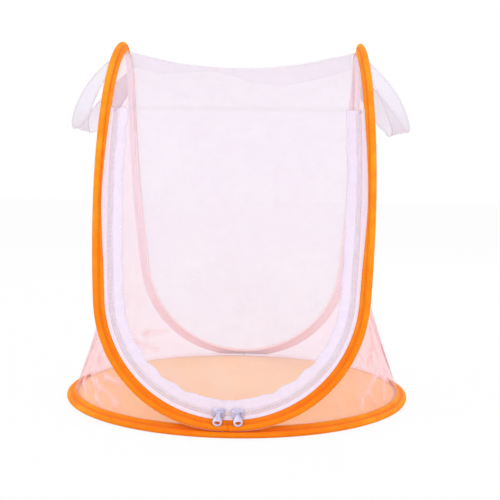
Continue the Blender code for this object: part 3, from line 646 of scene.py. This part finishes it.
def tapeSection():
    # the tape from one cut edge, round the wire, to the other cut edge, as the middle of its thickness
    half = band["tape"] / 2
    radius, lift = cage["tubeOuter"] - half, hemHalf - half
    ply = []
    for share in band["plyShares"]:
        dent = 1 - band["dent"] * bump(share, band["dentAt"], band["dentWidth"])
        # how much painted shade each point of a ply gets, most in the crease beside the wire
        crease = band["crease"] * bump(share, band["creaseAt"], band["creaseWidth"]) + band["creaseLeast"]
        ply.append((mix(radius, hemReach, share), lift * dent, crease))
    start = asin(lift / radius)
    sleeve = []
    for share in steps(band["roundSteps"]):
        angle = mix(-start, start - 2 * pi, share)
        # the sleeve gets painted shade where it turns into the plies
        crease = ease((cos(angle) - 0.55) / 0.4) * 0.75
        sleeve.append((radius * cos(angle), radius * sin(angle), crease))
    whole = [(reach, -lift, crease) for reach, lift, crease in reversed(ply)] + sleeve + ply
    return [spot[:2] for spot in whole], [spot[2] for spot in whole]


section, sectionCreaseShade = tapeSection()


def puckered(index, reach, lift, seed):
    # small pulls where the seam gathers the tape
    long = noise(Vector((index * 0.33, reach * 260, seed)))
    short = noise(Vector((index * 0.9, lift * 300, seed + 9)))
    return band["pucker"] * (long + 0.6 * short)


def stitchRing(reach, lift):
    path = []
    radius, height = hemSpot(reach, lift)
    upRadius, upHeight = hemSpot(reach, lift + 0.001)
    for angle in around(band["stitchStations"]) + [2 * pi]:
        up = ringPoint(upRadius - radius, angle, upHeight - height)
        path.append((ringPoint(radius, angle, height), up))
    return path


def baseTapeSpot(angle, reach, lift):
    seed = Vector((cos(angle), sin(angle), 0)) * 14
    pull = band["pucker"] * noise(seed + Vector((reach * 300, lift * 300, 2)))
    onHem = reach > cage["tubeOuter"]
    radius, height = hemSpot(reach * (1 + pull * 8), lift * (1 - abs(pull) * 60) if onHem else lift)
    shrink = 1 if onHem else 1 - abs(pull) * 50
    wireRadius, wireHeight = hemSpot(0, 0)
    radius = wireRadius + (radius - wireRadius) * shrink
    return ringPoint(radius, angle, wireHeight + (height - wireHeight) * shrink)


def makeBaseBand():
    rows = [[baseTapeSpot(angle, *spot) for spot in section] for angle in around(band["stations"])]
    piece = fabric("baseBinding", rows, "cage", "orange_tape", "orange", band["tape"], ["base_binding"],
                   closedRun=True, mark="crease", values=[sectionCreaseShade] * len(rows))
    path = stitchRing(band["stitchReach"], stitchLift)
    sewn = alongPath("baseStitches", orangeStitchTree, [path], "cage", "orangeThread")
    declare(piece, pieces=[sewn])


floor = dict(spokes=96, rings=32, hub=0.004, flatRadius=0.118, height=0.0004, rimGap=0.0004, thick=0.0007,
             ripple=0.0011, rimShare=0.86)


def floorSpot(angle, share, rimRadius, rimHeight):
    radius = mix(floor["hub"], rimRadius, share)
    climb = max(0.0, (radius - floor["flatRadius"]) / (rimRadius - floor["flatRadius"]))
    spot = ringPoint(radius, angle, mix(floor["height"], rimHeight, ease(climb)))
    ripple = noise(spot * 22) + 0.5 * noise(spot * 55 + Vector((3, 1, 0)))
    hold = ease(share * 6) * (1 - ease((share - floor["rimShare"]) / (1 - floor["rimShare"])))
    spot.z += max(0.0, ripple) * floor["ripple"] * hold
    return spot


def makeFloor():
    rimRadius, rimHeight = hemSpot(seamReach, -(hemHalf + cage["gap"] + floor["rimGap"]))
    rows = [[floorSpot(angle, share, rimRadius, rimHeight) for share in steps(floor["rings"])]
            for angle in around(floor["spokes"])]
    mesh = gridMesh("floorCloth", rows, True)

    # the hub is closed, and the weave runs straight over the whole cloth
    bm = bmesh.new()
    bm.from_mesh(mesh)
    rim = [e for e in bm.edges if len(e.link_faces) == 1 and e.verts[0].co.to_2d().length < 0.01]
    bmesh.ops.holes_fill(bm, edges=rim, sides=200)
    uv = bm.loops.layers.uv["cloth"]
    for face in bm.faces:
        for loop in face.loops:
            loop[uv].uv = loop.vert.co.to_2d()
    bm.to_mesh(mesh)
    bm.free()
    piece = place("floorCloth", mesh, "cage", "floor", ["floor_panel"])
    modify(piece, "thickness", "SOLIDIFY", thickness=floor["thick"], offset=0)
    declare(piece, 2 * rimRadius, 2 * rimRadius)


makeBaseBand()
makeFloor()
print("base done")

# tall hoop: two lengths of folded tape that meet at the bottom

def halfFrames(side, count):
    shares = steps(count)
    front = [(s, *hoopFrame(s, side, 1)) for s in shares]
    rear = [(s, *hoopFrame(s, side, -1)) for s in reversed(shares[:-1])]
    for run, end in ((front, 0), (rear, -1)):   # keeps the two lengths' ends just apart
        share, wire, along, face = run[end]
        run[end] = (share, wire + Vector((side * 0.00001, 0, 0)), along, face)
    return front + rear


def hoopTapeSpot(wire, along, face, reach, lift, pull):
    if reach < cage["tubeOuter"]:
        shrink = 1 - abs(pull) / cage["tubeOuter"]
        return wire + along * (reach * shrink) + face * (lift * shrink)
    return wire + along * (reach + pull * 0.6) + face * (lift * (1 - abs(pull) * 900))


def makeHoopBand(name, side, node):
    rows = []
    for i, (share, *axes) in enumerate(halfFrames(side, band["halfStations"])):
        calm = ease(share * 12)   # no pulls where the two lengths meet
        pulled = [puckered(i, *spot, 5 + side) * calm for spot in section]
        rows.append([hoopTapeSpot(*axes, *spot, pull) for spot, pull in zip(section, pulled)])
    piece = fabric(name, rows, "cage", "orange_tape", "orange", band["tape"], [node],
                   mark="crease", values=[sectionCreaseShade] * len(rows))
    reach, frames = band["stitchReach"], halfFrames(side, band["hoopStitchStations"])
    paths = [[(wire + along * reach + face * (stitchLift * turn), face * turn)
              for share, wire, along, face in frames] for turn in (1, -1)]
    sewn = alongPath(name + "Stitches", orangeStitchTree, paths, "cage", "orangeThread")
    declare(piece, pieces=[sewn])


sides = (("Left", -1), ("Right", 1))
for name, side in sides:
    makeHoopBand("hoopBinding" + name, side, "arch_binding_" + name.lower())
print("hoop done")

# side walls, with the pulls that run from the base to the hoop

wall = dict(rows=190, columns=60, creaseDepth=0.0015, slack=0.0009, rearShift=0.04)
# broad folds: place along the hoop, slant, width along the hoop, height share where it dies out, depth
pulls = {
    -1: [(0.30, 0.10, 0.020, 0.75, 0.0036), (0.37, 0.06, 0.016, 0.60, 0.0030),
         (0.44, -0.02, 0.020, 0.70, 0.0028), (0.52, 0.04, 0.022, 0.45, 0.0022),
         (0.23, 0.05, 0.016, 0.80, 0.0026), (0.66, -0.05, 0.03, 0.9, 0.0016),
         (0.84, 0.06, 0.035, 0.9, 0.0014)],
    1: [(0.27, 0.09, 0.018, 0.85, 0.0034), (0.35, -0.06, 0.018, 0.65, 0.0034),
        (0.41, 0.08, 0.015, 0.50, 0.0028), (0.50, 0.02, 0.022, 0.60, 0.0024),
        (0.21, 0.04, 0.014, 0.80, 0.0022), (0.70, 0.04, 0.03, 0.9, 0.0016),
        (0.88, -0.05, 0.035, 0.9, 0.0012)],
}
# sharp creases that spread from one gathered spot: (place along the hoop, height share) at both ends, width
creases = {
    -1: [((0.45, 0.125), (0.612, 0.275), 0.0030), ((0.45, 0.125), (0.388, 0.025), 0.0022),
         ((0.381, 0.225), (0.281, 0.025), 0.0024), ((0.356, 0.25), (0.231, 0.20), 0.0028),
         ((0.312, 0.40), (0.225, 0.675), 0.0030), ((0.581, 0.075), (0.50, 0.02), 0.0024)],
    1: [((0.431, 0.225), (0.30, 0.20), 0.0030), ((0.30, 0.20), (0.288, 0.075), 0.0026),
        ((0.512, 0.15), (0.412, 0.05), 0.0028), ((0.612, 0.225), (0.512, 0.15), 0.0034)],
}


# the facings' sections: reach from the wire, and height off the middle of the hem
facing = dict(
    thick=0.0003, hoopStations=120, baseSteps=60,
    baseFrom=0.56,   # where the base's facing starts, as a share of the way from the front to the back
    hoop=((-0.0014, 0.0027), (0.0, 0.0030), (0.0016, 0.0026), (0.0028, 0.0018), (0.0042, 0.0014),
          (0.0066, 0.0013), (0.0084, 0.0012), (hemReach + 0.0004, 0.0008), (hemReach + 0.0005, 0.0)),
    base=((hemReach + 0.0003, 0.0005), (hemReach + 0.0005, -0.0004), (hemReach + 0.0001, -0.0013),
          (hemReach - 0.0003, -0.0018), (hemReach + 0.0010, -0.0030)),
)


def wallEnds(share, side, back):
    wire, along, face = hoopFrame(share, side, back)
    top = wire + along * seamReach - face * seamLift
    radius, height = hemSpot(seamReach, seamLift)
    angle = pi / 2 * (1 - (1 - share) ** cage["fanPower"])
    foot = Vector((side * radius * sin(angle), -back * radius * cos(angle), height))
    if share == 0.0:
        foot.x = top.x = side * cage["gap"]
    return foot, top


def wallSpot(foot, top, t):
    spot = foot.lerp(top, t)
    inward = Vector((-spot.x, -spot.y, 0)).normalized()
    return spot + inward * ((top - foot).length * cage["tuck"] * 4 * t * (1 - t)), inward


def creaseAt(spot, lines):
    strongest = 0.0
    for start, end, width in lines:
        run = end - start
        t = min(max((spot - start).dot(run) / run.length_squared, 0.0), 1.0)
        apart = (spot - start - run * t).length
        strongest = max(strongest, bump(apart, 0.0, width) * (1 - 0.6 * t))
    return strongest


def wallRow(share, side, back, lines):
    foot, top = wallEnds(share, side, back)
    row, gathers = [], []
    for t in steps(wall["columns"]):
        spot, inward = wallSpot(foot, top, t)
        fold = 0.0
        hold = ease(t * 9) * ease((1 - t) * 7) * ease((share - 0.06) * 14)   # none at the seams
        for at, slant, width, reach, depth in pulls[side]:
            line = at + slant * t + (wall["rearShift"] if back < 0 else 0.0)
            fold += depth * bump(share, line, width * (0.6 + 0.8 * t)) * (1 - ease(t / reach))
        crease = creaseAt(spot, lines)
        gathers.append(min(crease * 0.75 + fold * 55 * ease(t * 9), 1.0))
        fold += crease * wall["creaseDepth"]
        fold += wall["slack"] * noise(spot * 24 + Vector((side, back, 0)))
        row.append(spot - inward * (fold * hold))
    return row, gathers


def makeFacings(name, side):
    # the netting's own edge, turned in over both hems, as it shows from inside the cage
    rows, marks = [], []
    for share, wire, along, face in halfFrames(side, facing["hoopStations"]):
        rows.append([wire + along * reach - face * lift for reach, lift in facing["hoop"]])
        folded = 1 - 0.85 * ease((share - 0.30) / 0.25)
        marks.append([max(folded, 0.9 * bump(reach, 0.0042, 0.0012)) for reach, lift in facing["hoop"]])
    strips = [(name + "HoopFacing", rows, marks)]
    rows = []
    for share in steps(facing["baseSteps"]):
        angle = side * pi * mix(facing["baseFrom"], 0.9999, share)
        spots = [hemSpot(*spot) for spot in facing["base"]]
        rows.append([ringPoint(radius, angle, height) for radius, height in spots])
    strips.append((name + "BaseFacing", rows, [[0.85] * len(facing["base"])] * len(rows)))
    return [fabric(title, rows, "cage", "pink_mesh", "facing", facing["thick"], mark="gather", values=marks)
            for title, rows, marks in strips]


def makeWall(name, side, node):
    shares = steps(wall["rows"])
    rows, marks = [], []
    for back, run in ((1, shares), (-1, list(reversed(shares[:-1])))):
        lines = []
        for start, end, width in creases[side]:
            ends = [wallSpot(*wallEnds(share, side, back), t)[0] for share, t in (start, end)]
            lines.append((*ends, width))
        for share in run:
            row, gathers = wallRow(share, side, back, lines)
            rows.append(row)
            marks.append(gathers)
    piece = fabric(name, rows, "cage", "pink_mesh", "side", cage["netThick"], [node],
                   mark="gather", values=marks)
    declare(piece, pieces=makeFacings(name, side))


for name, side in sides:
    makeWall("sideWall" + name, side, "side_panel_" + name.lower())
print("walls done")

# rear wall, roof and the seam that hangs under the ridge

sheetSizes = dict(rows=90, columns=44, roofRows=34, doorRows=84, slackFade=0.030, topFade=0.012)
ridgeSizes = dict(rows=8, halfColumns=40, drop=0.014, endGap=0.0030, thick=0.0011, sway=0.0016)


def wave(x, length, inside, seed):
    # slack in the cloth, none at its edges
    spot = Vector((x * 9, length * 6, seed))
    return inside * (0.0016 * noise(spot) + 0.0006 * noise(spot * 3.1))


def tipPull(x, length):
    # creases that run from each tip towards the middle of the ridge
    share = (length - doorTopLength) / (ridgeLength - doorTopLength)
    if share <= 0:
        return 0.0
    across = abs(x) / cage["tipHalf"]
    line = share - (0.42 + 0.5 * across)
    hold = ease(share * 3) * ease((1 - share) * 6) * ease((1 - across) * 6)
    return 0.0011 * sin(line * 26) * bump(across, 0.72, 0.28) * hold


def chordRows(depth, shareLow, shareHigh, lowLength, highLength, count, back, seed, columns, under=0.0):
    rows = []
    for part in steps(count):
        x, length = edgeOffset(mix(shareLow, shareHigh, part), depth)
        length = min(max(length, lowLength), highLength)
        row = []
        belowTop = ease((highLength - length) / sheetSizes["topFade"])
        ends = ease((length - lowLength) / sheetSizes["slackFade"]) * belowTop
        for j in range(columns + 1):
            at = x * (2 * j / columns - 1)
            edge = ease((x - abs(at)) / sheetSizes["slackFade"]) * ends
            lift = wave(at, length, edge, seed) + tipPull(at, length) * edge
            lift -= under * belowTop
            row.append(frontPoint(at, length, lift) * Vector((1, back, 1)))
        rows.append(row)
    return rows


def makeRear():
    ridge, columns = ridgeLength - cage["gap"] / 2, sheetSizes["columns"]
    rows = chordRows(0.0, 0.0, 1.0, 0.0, ridge, sheetSizes["rows"], -1, 4.0, columns)
    piece = fabric("rearWall", rows, "cage", "pink_mesh", "rear", cage["netThick"], ["rear_panel"])
    declare(piece)
    low = doorTopLength + cage["hingeGap"]
    rows = chordRows(0.0, shareAtLength(low), 1.0, low, ridge, sheetSizes["roofRows"], 1, 7.0, columns)
    piece = fabric("roofFront", rows, "cage", "pink_mesh", "front", cage["netThick"], ["front_panel_upper"])
    declare(piece)


def makeRidgeSeam():
    half = cage["tipHalf"] - ridgeSizes["endGap"]
    rows = []
    for t in steps(ridgeSizes["rows"]):
        row = []
        for j in range(2 * ridgeSizes["halfColumns"] + 1):
            x = half * (j / ridgeSizes["halfColumns"] - 1)
            across = x / half
            full = 1 - 0.78 * bump(across, -0.27, 0.34) + 0.2 * bump(across, 0.45, 0.35)
            drop = cage["netThick"] / 2 + cage["gap"] + ridgeSizes["drop"] * t * full
            sway = ridgeSizes["sway"] * t * noise(Vector((x * 26, 4, 1)))
            row.append(frontPoint(x, ridgeLength) + Vector((0, sway, -drop)))
        rows.append(row)
    piece = fabric("ridgeSeam", rows, "cage", "lilac_tape", "ridge", ridgeSizes["thick"], ["ridge_hem"])
    declare(piece, 2 * half, ridgeSizes["drop"] * 1.2)


makeRear()
makeRidgeSeam()
print("rear and roof done")

# door and zip

coilBed = dict(depth=0.00078, half=0.0027, slope=0.0007)
tapeShares = [doorTopShare * i / zipSizes["tapeSteps"] for i in range(zipSizes["tapeSteps"] + 1)]
doorTopEdge = doorTopLength - cage["hingeGap"]


def tapeLift(depth):
    # under the coil the tapes lie a little behind it
    away = abs(depth - zipSizes["chain"])
    return -coilBed["depth"] * ease((coilBed["half"] - away) / coilBed["slope"])


def tapeGrid(depths, frayed=0.0):
    right = []
    for share in tapeShares:
        row = []
        for j, depth in enumerate(depths):
            if frayed and j >= len(depths) - 2:
                depth += frayed * noise(Vector((share * 34, 1, 2)))
                depth += frayed * 0.4 * noise(Vector((share * 210, 1, 2)))
            x, length = edgeOffset(share, depth)
            ruffle = frayed * 0.5 * noise(Vector((share * 60, depth * 90, 8)))
            row.append((x, min(length, doorTopEdge), tapeLift(depth) + ruffle))
        right.append(row)
    left = [[(-x, length, lift) for x, length, lift in row] for row in reversed(right[1:])]
    return [[frontPoint(x, length, lift) for x, length, lift in row] for row in left + right]


def overBinding(share, side, beyond):
    # a place on the frame tape's outer part, which is sewn down on the orange binding
    wire, along, face = hoopFrame(share, side)
    lift = mix(seamLift, hemHalf + zipSizes["tapeThick"] / 2 + 0.0001, ease(beyond / zipSizes["tapeOver"]))
    shown = 0.12 + 0.88 * ease((doorTopShare - share) / 0.20) * ease((share - 0.40) / 0.12)
    return wire + along * (seamReach - beyond * shown) + face * mix(seamLift, lift, shown), face


def zipPath(depth, side, startShare=0.0, lift=0.0, stop=0.0):
    path = []
    last = shareAtLength(doorTopEdge - stop, depth)
    for part in steps(zipSizes["steps"]):
        x, length = edgeOffset(mix(startShare, last, part), depth)
        path.append((frontPoint(side * x, length, lift), profileAt(length)[2]))
    return path


def makeDoor():
    depth = zipSizes["tapeInner"] - zipSizes["netLap"]
    count, columns = sheetSizes["doorRows"], sheetSizes["columns"]
    high = shareAtLength(doorTopEdge, depth)
    under = zipSizes["netUnder"]
    rows = chordRows(depth, 0.0, high, 0.0, doorTopEdge, count, 1, 11.0, columns, under)
    piece = fabric("doorNet", rows, "door", "pink_mesh", "front", cage["netThick"], ["door_panel"])
    declare(piece)


underCoil = (0.0002, 0.0010, 0.0018, 0.0024, 0.0029)   # tape rows from the middle of the chain
besideBinding = (0.0, 0.0012)                          # tape rows from the binding's edge


def makeDoorTape():
    depths = [zipSizes["chain"] + step for step in underCoil]
    depths += [mix(depths[-1], zipSizes["tapeInner"], k / 6) for k in range(1, 7)]
    rows = tapeGrid(depths, zipSizes["frayed"])
    piece = fabric("doorZipTape", rows, "door", "lilac_tape", "tape", zipSizes["tapeThick"],
                   ["zip_tape_door"])
    seam = zipSizes["tapeInner"] - zipSizes["stitchInset"]
    lines = [zipPath(seam, side, lift=zipSizes["stitchLift"]) for side in (-1, 1)]
    sewn = alongPath("doorTapeStitches", stitchTree, lines, "door", "lilacThread")
    declare(piece, pieces=[sewn])


def makeFrameTape():
    rows = tapeGrid([*besideBinding, *(zipSizes["chain"] - step for step in reversed(underCoil))])
    over, sewnLift = zipSizes["tapeOver"], zipSizes["outerStitchLift"]
    outer = [(share, -1) for share in reversed(tapeShares[1:])] + [(share, 1) for share in tapeShares]
    rows = [[overBinding(*at, over * k / 4)[0] for k in (4, 3, 2, 1)] + row for at, row in zip(outer, rows)]
    piece = fabric("frameZipTape", rows, "cage", "lilac_tape", "outerTape", zipSizes["tapeThick"],
                   ["zip_tape_frame"])
    lines = []
    for side in (-1, 1):
        spots = [overBinding(share, side, over * zipSizes["outerStitchShare"]) for share in tapeShares]
        lines.append([(spot + face * sewnLift, face) for spot, face in spots])
    sewn = alongPath("frameTapeStitches", stitchTree, lines, "cage", "lilacThread")
    declare(piece, pieces=[sewn])


def makeCoils():
    chain, stop = zipSizes["chain"], zipSizes["topStop"]
    left, right = (zipPath(chain - zipSizes["rowCentre"], side, stop=stop) for side in (-1, 1))
    frameLine = left[:0:-1] + right
    alongPath("frameCoil", coilTree, [frameLine], "cage", "coil", ["zip_coil_frame"])
    for name, side in sides:
        path = zipPath(chain + zipSizes["rowCentre"], side, zipSizes["coilStart"], stop=stop)
        node = "zip_coil_door_" + name.lower()
        alongPath("doorCoil" + name, coilTree, [path], "door", "coil", [node])


makeDoor()
makeDoorTape()
makeFrameTape()
makeCoils()
print("door done")

# carrying straps: netting folded flat with a rolled hem down each side

strap = dict(width=0.021, thick=0.0009, arcRadius=0.200, arcStart=radians(47.4),
             arcEnd=radians(65.3), tilt=radians(79.6), top=0.325, steps=96, lanes=20, searchSteps=2000,
             slackOut=0.0011, slackUp=0.0016, clothThick=0.0006,
             hem=0.0017, hemThick=0.0004, hemLifts=(0.00056, 0.00066, 0.00056), stitchLift=0.00088)


def wireAtHeight(height):
    spots = [hoopFrame(share)[0] for share in steps(strap["searchSteps"])]
    return min(spots, key=lambda spot: abs(spot.z - height))


def strapSpot(run, share, low, high, seed):
    fall = mix(strap["arcStart"], strap["arcEnd"], sin(run))
    tilt = strap["tilt"] * sin(run)
    out = strap["arcRadius"] * (sin(fall) - sin(strap["arcStart"]))
    drop = strap["arcRadius"] * (cos(strap["arcStart"]) - cos(fall))
    end = low.lerp(high, share)
    across = strap["width"] * (share - 0.5)
    x = end.x + out + across * sin(tilt)
    spot = Vector((x, end.y * cos(run), end.z - drop + across * (cos(tilt) - 1)))
    slack = sin(run) ** 2
    spot.x += slack * strap["slackOut"] * noise(Vector((run * 2.2, share * 2.4, seed)))
    spot.z += slack * strap["slackUp"] * noise(Vector((run * 2.6, share * 1.8, seed + 5)))
    return spot


def strapHem(name, label, edge, seam, at, runs, flip, body):
    # a rolled hem along one edge, and the line of stitches that holds it
    rows, path = [], []
    for run in runs:
        here = [at(run, edge + seam * k / strap["width"] / 2) for k in (0, 1, 2)]
        ahead = at(run + 0.02, edge) - at(run - 0.02, edge)
        face = ahead.cross(here[2] - here[0]).normalized() * (1 if seam > 0 else -1)
        rows.append([(spot + face * lift) * flip for spot, lift in zip(here, strap["hemLifts"])])
        path.append(((here[2].lerp(here[1], 0.35) + face * strap["stitchLift"]) * flip, face * flip))
    return fabric(name + label + "Hem", rows, body, "lilac_tape", "strapHem", strap["hemThick"]), path


def makeStrap(name, side, node, body, seed):
    low, high = wireAtHeight(strap["top"] - strap["width"]), wireAtHeight(strap["top"])
    lean = (high - low).normalized().x
    beside = (cage["tubeOuter"] + cage["gap"] + strap["thick"] / 2) / sqrt(1 - lean * lean)
    low, high = low + Vector((beside, 0, 0)), high + Vector((beside, 0, 0))
    flip = Vector((side, 1, 1))

    def at(run, share):
        return strapSpot(run, share, low, high, seed)

    runs = [pi * i / strap["steps"] for i in range(strap["steps"] + 1)]
    rows = [[at(run, share) * flip for share in steps(strap["lanes"])] for run in runs]
    piece = fabric(name, rows, body, "lilac_tape", "strap", strap["clothThick"], [node])
    edges = (("Lower", 0.0, strap["hem"]), ("Upper", 1.0, -strap["hem"]))
    made = [strapHem(name, *edge, at, runs, flip, body) for edge in edges]
    hems, paths = [hem for hem, path in made], [path for hem, path in made]
    sewn = alongPath(name + "Stitches", stitchTree, paths, body, "lilacThread")
    declare(piece, pieces=hems + [sewn])


makeStrap("strapLeft", -1, "handle_left", "strap_left", 1.0)
makeStrap("strapRight", 1, "handle_right", "strap_right", 6.0)
print("straps done")

# sliders, pulls and stops keep their solids' shapes with the edges eased, and the wires keep their solids

easing = dict(slider=0.00022, pull=0.00018, stop=0.00025)


def easedCopy(node, name, body, width):
    mesh = nodes[node].data.copy()
    bm = bmesh.new()
    bm.from_mesh(mesh)
    bmesh.ops.remove_doubles(bm, verts=bm.verts[:], dist=weldGap)
    bmesh.ops.dissolve_limit(bm, angle_limit=radians(4), verts=bm.verts[:], edges=bm.edges[:])
    bm.to_mesh(mesh)
    bm.free()
    piece = place(name, mesh, body, "slider", [node])
    modify(piece, "edge", "BEVEL", width=width, segments=2, limit_method="ANGLE", angle_limit=radians(40))


for side in ("left", "right"):
    title = side.capitalize()
    easedCopy("slider_" + side, "slider" + title, "slider_" + side, easing["slider"])
    easedCopy("slider_pull_" + side, "pull" + title, "pull_" + side, easing["pull"])
    easedCopy("zip_stop_" + side, "stop" + title, "cage", easing["stop"])
for node in ("base_hoop_wire", "base_hoop_ferrule", "arch_wire", "arch_ferrule"):
    nodes[node].data.materials.clear()
    nodes[node].data.materials.append(looks["steel"])
print("metal parts done")

# studio floor, light and camera


def stageFinish():
    f = Finish("paleFloor")
    grain = f.noise(3, 3)
    pale = f.tint(grain, (0.90, 0.90, 0.905, 1), (0.87, 0.87, 0.875, 1))
    white = f.node("ShaderNodeBsdfDiffuse", {"Color": pale})
    glow = f.node("ShaderNodeEmission", {"Color": (1, 1, 1, 1), "Strength": 1.0})
    both = f.node("ShaderNodeMixShader", [f.seenPath() * 0.90, white, glow])
    f.node("ShaderNodeOutputMaterial", {"Surface": both})
    return f.material


studio = dict(
    world=0.92, groundHeight=-0.0004, aim=(0, 0, 0.15),
    lamps=(("keyLamp", (-0.9, -1.3, 1.5), 1.1, 7), ("fillLamp", (1.4, -1.0, 0.9), 1.2, 4),
           ("backLamp", (0.4, 1.4, 1.3), 1.0, 4)),
)


def makeStage():
    bm = bmesh.new()
    bmesh.ops.create_circle(bm, cap_ends=True, segments=96, radius=9.0)
    ground = linked("studioFloor", meshFrom(bm, "studioFloor"))
    ground.data.materials.append(stageFinish())
    ground.location.z = studio["groundHeight"]

    world = bpy.data.worlds.new("studio")
    bpy.context.scene.world = world
    world.use_nodes = True
    g = Graph(world.node_tree)
    dim = g.node("ShaderNodeBackground", {"Color": (1.0, 0.99, 1.0, 1), "Strength": studio["world"]})
    bright = g.node("ShaderNodeBackground", {"Color": (1, 1, 1, 1), "Strength": 1.0})
    g.node("ShaderNodeOutputWorld", {"Surface": g.node("ShaderNodeMixShader", [g.seenPath(), dim, bright])})

    for name, at, size, power in studio["lamps"]:
        lamp = bpy.data.lights.new(name, "AREA")
        lamp.size, lamp.energy = size, power
        holder = linked(name, lamp)
        holder.location = at
        holder.rotation_euler = (Vector(studio["aim"]) - Vector(at)).to_track_quat("-Z", "Y").to_euler()


# distances in metres, angles in degrees, the sensor in millimetres, the focal length and picture in pixels
viewpoint = dict(distance=0.900, pitch=4.35, yaw=1.89, roll=0.79, targetX=0.01117, targetZ=0.14487,
                 focal=893.1, sensor=36, pictureWidth=500)


def makeCamera():
    pitch, yaw, roll = (radians(viewpoint[turn]) for turn in ("pitch", "yaw", "roll"))
    back = Vector((sin(yaw) * cos(pitch), -cos(yaw) * cos(pitch), sin(pitch)))
    right = Vector((cos(yaw), sin(yaw), 0))
    up = back.cross(right)
    rolledRight = right * cos(roll) + up * sin(roll)
    rolledUp = up * cos(roll) - right * sin(roll)
    camera = linked("camera", bpy.data.cameras.new("camera"))
    camera.data.sensor_width = viewpoint["sensor"]
    camera.data.lens = viewpoint["focal"] * viewpoint["sensor"] / viewpoint["pictureWidth"]
    spin = Matrix((rolledRight, rolledUp, back)).transposed().to_4x4()
    target = Vector((viewpoint["targetX"], 0, viewpoint["targetZ"]))
    camera.matrix_world = Matrix.Translation(target + back * viewpoint["distance"]) @ spin
    bpy.context.scene.camera = camera


makeStage()
makeCamera()
bpy.context.scene.view_settings.view_transform = "Standard"
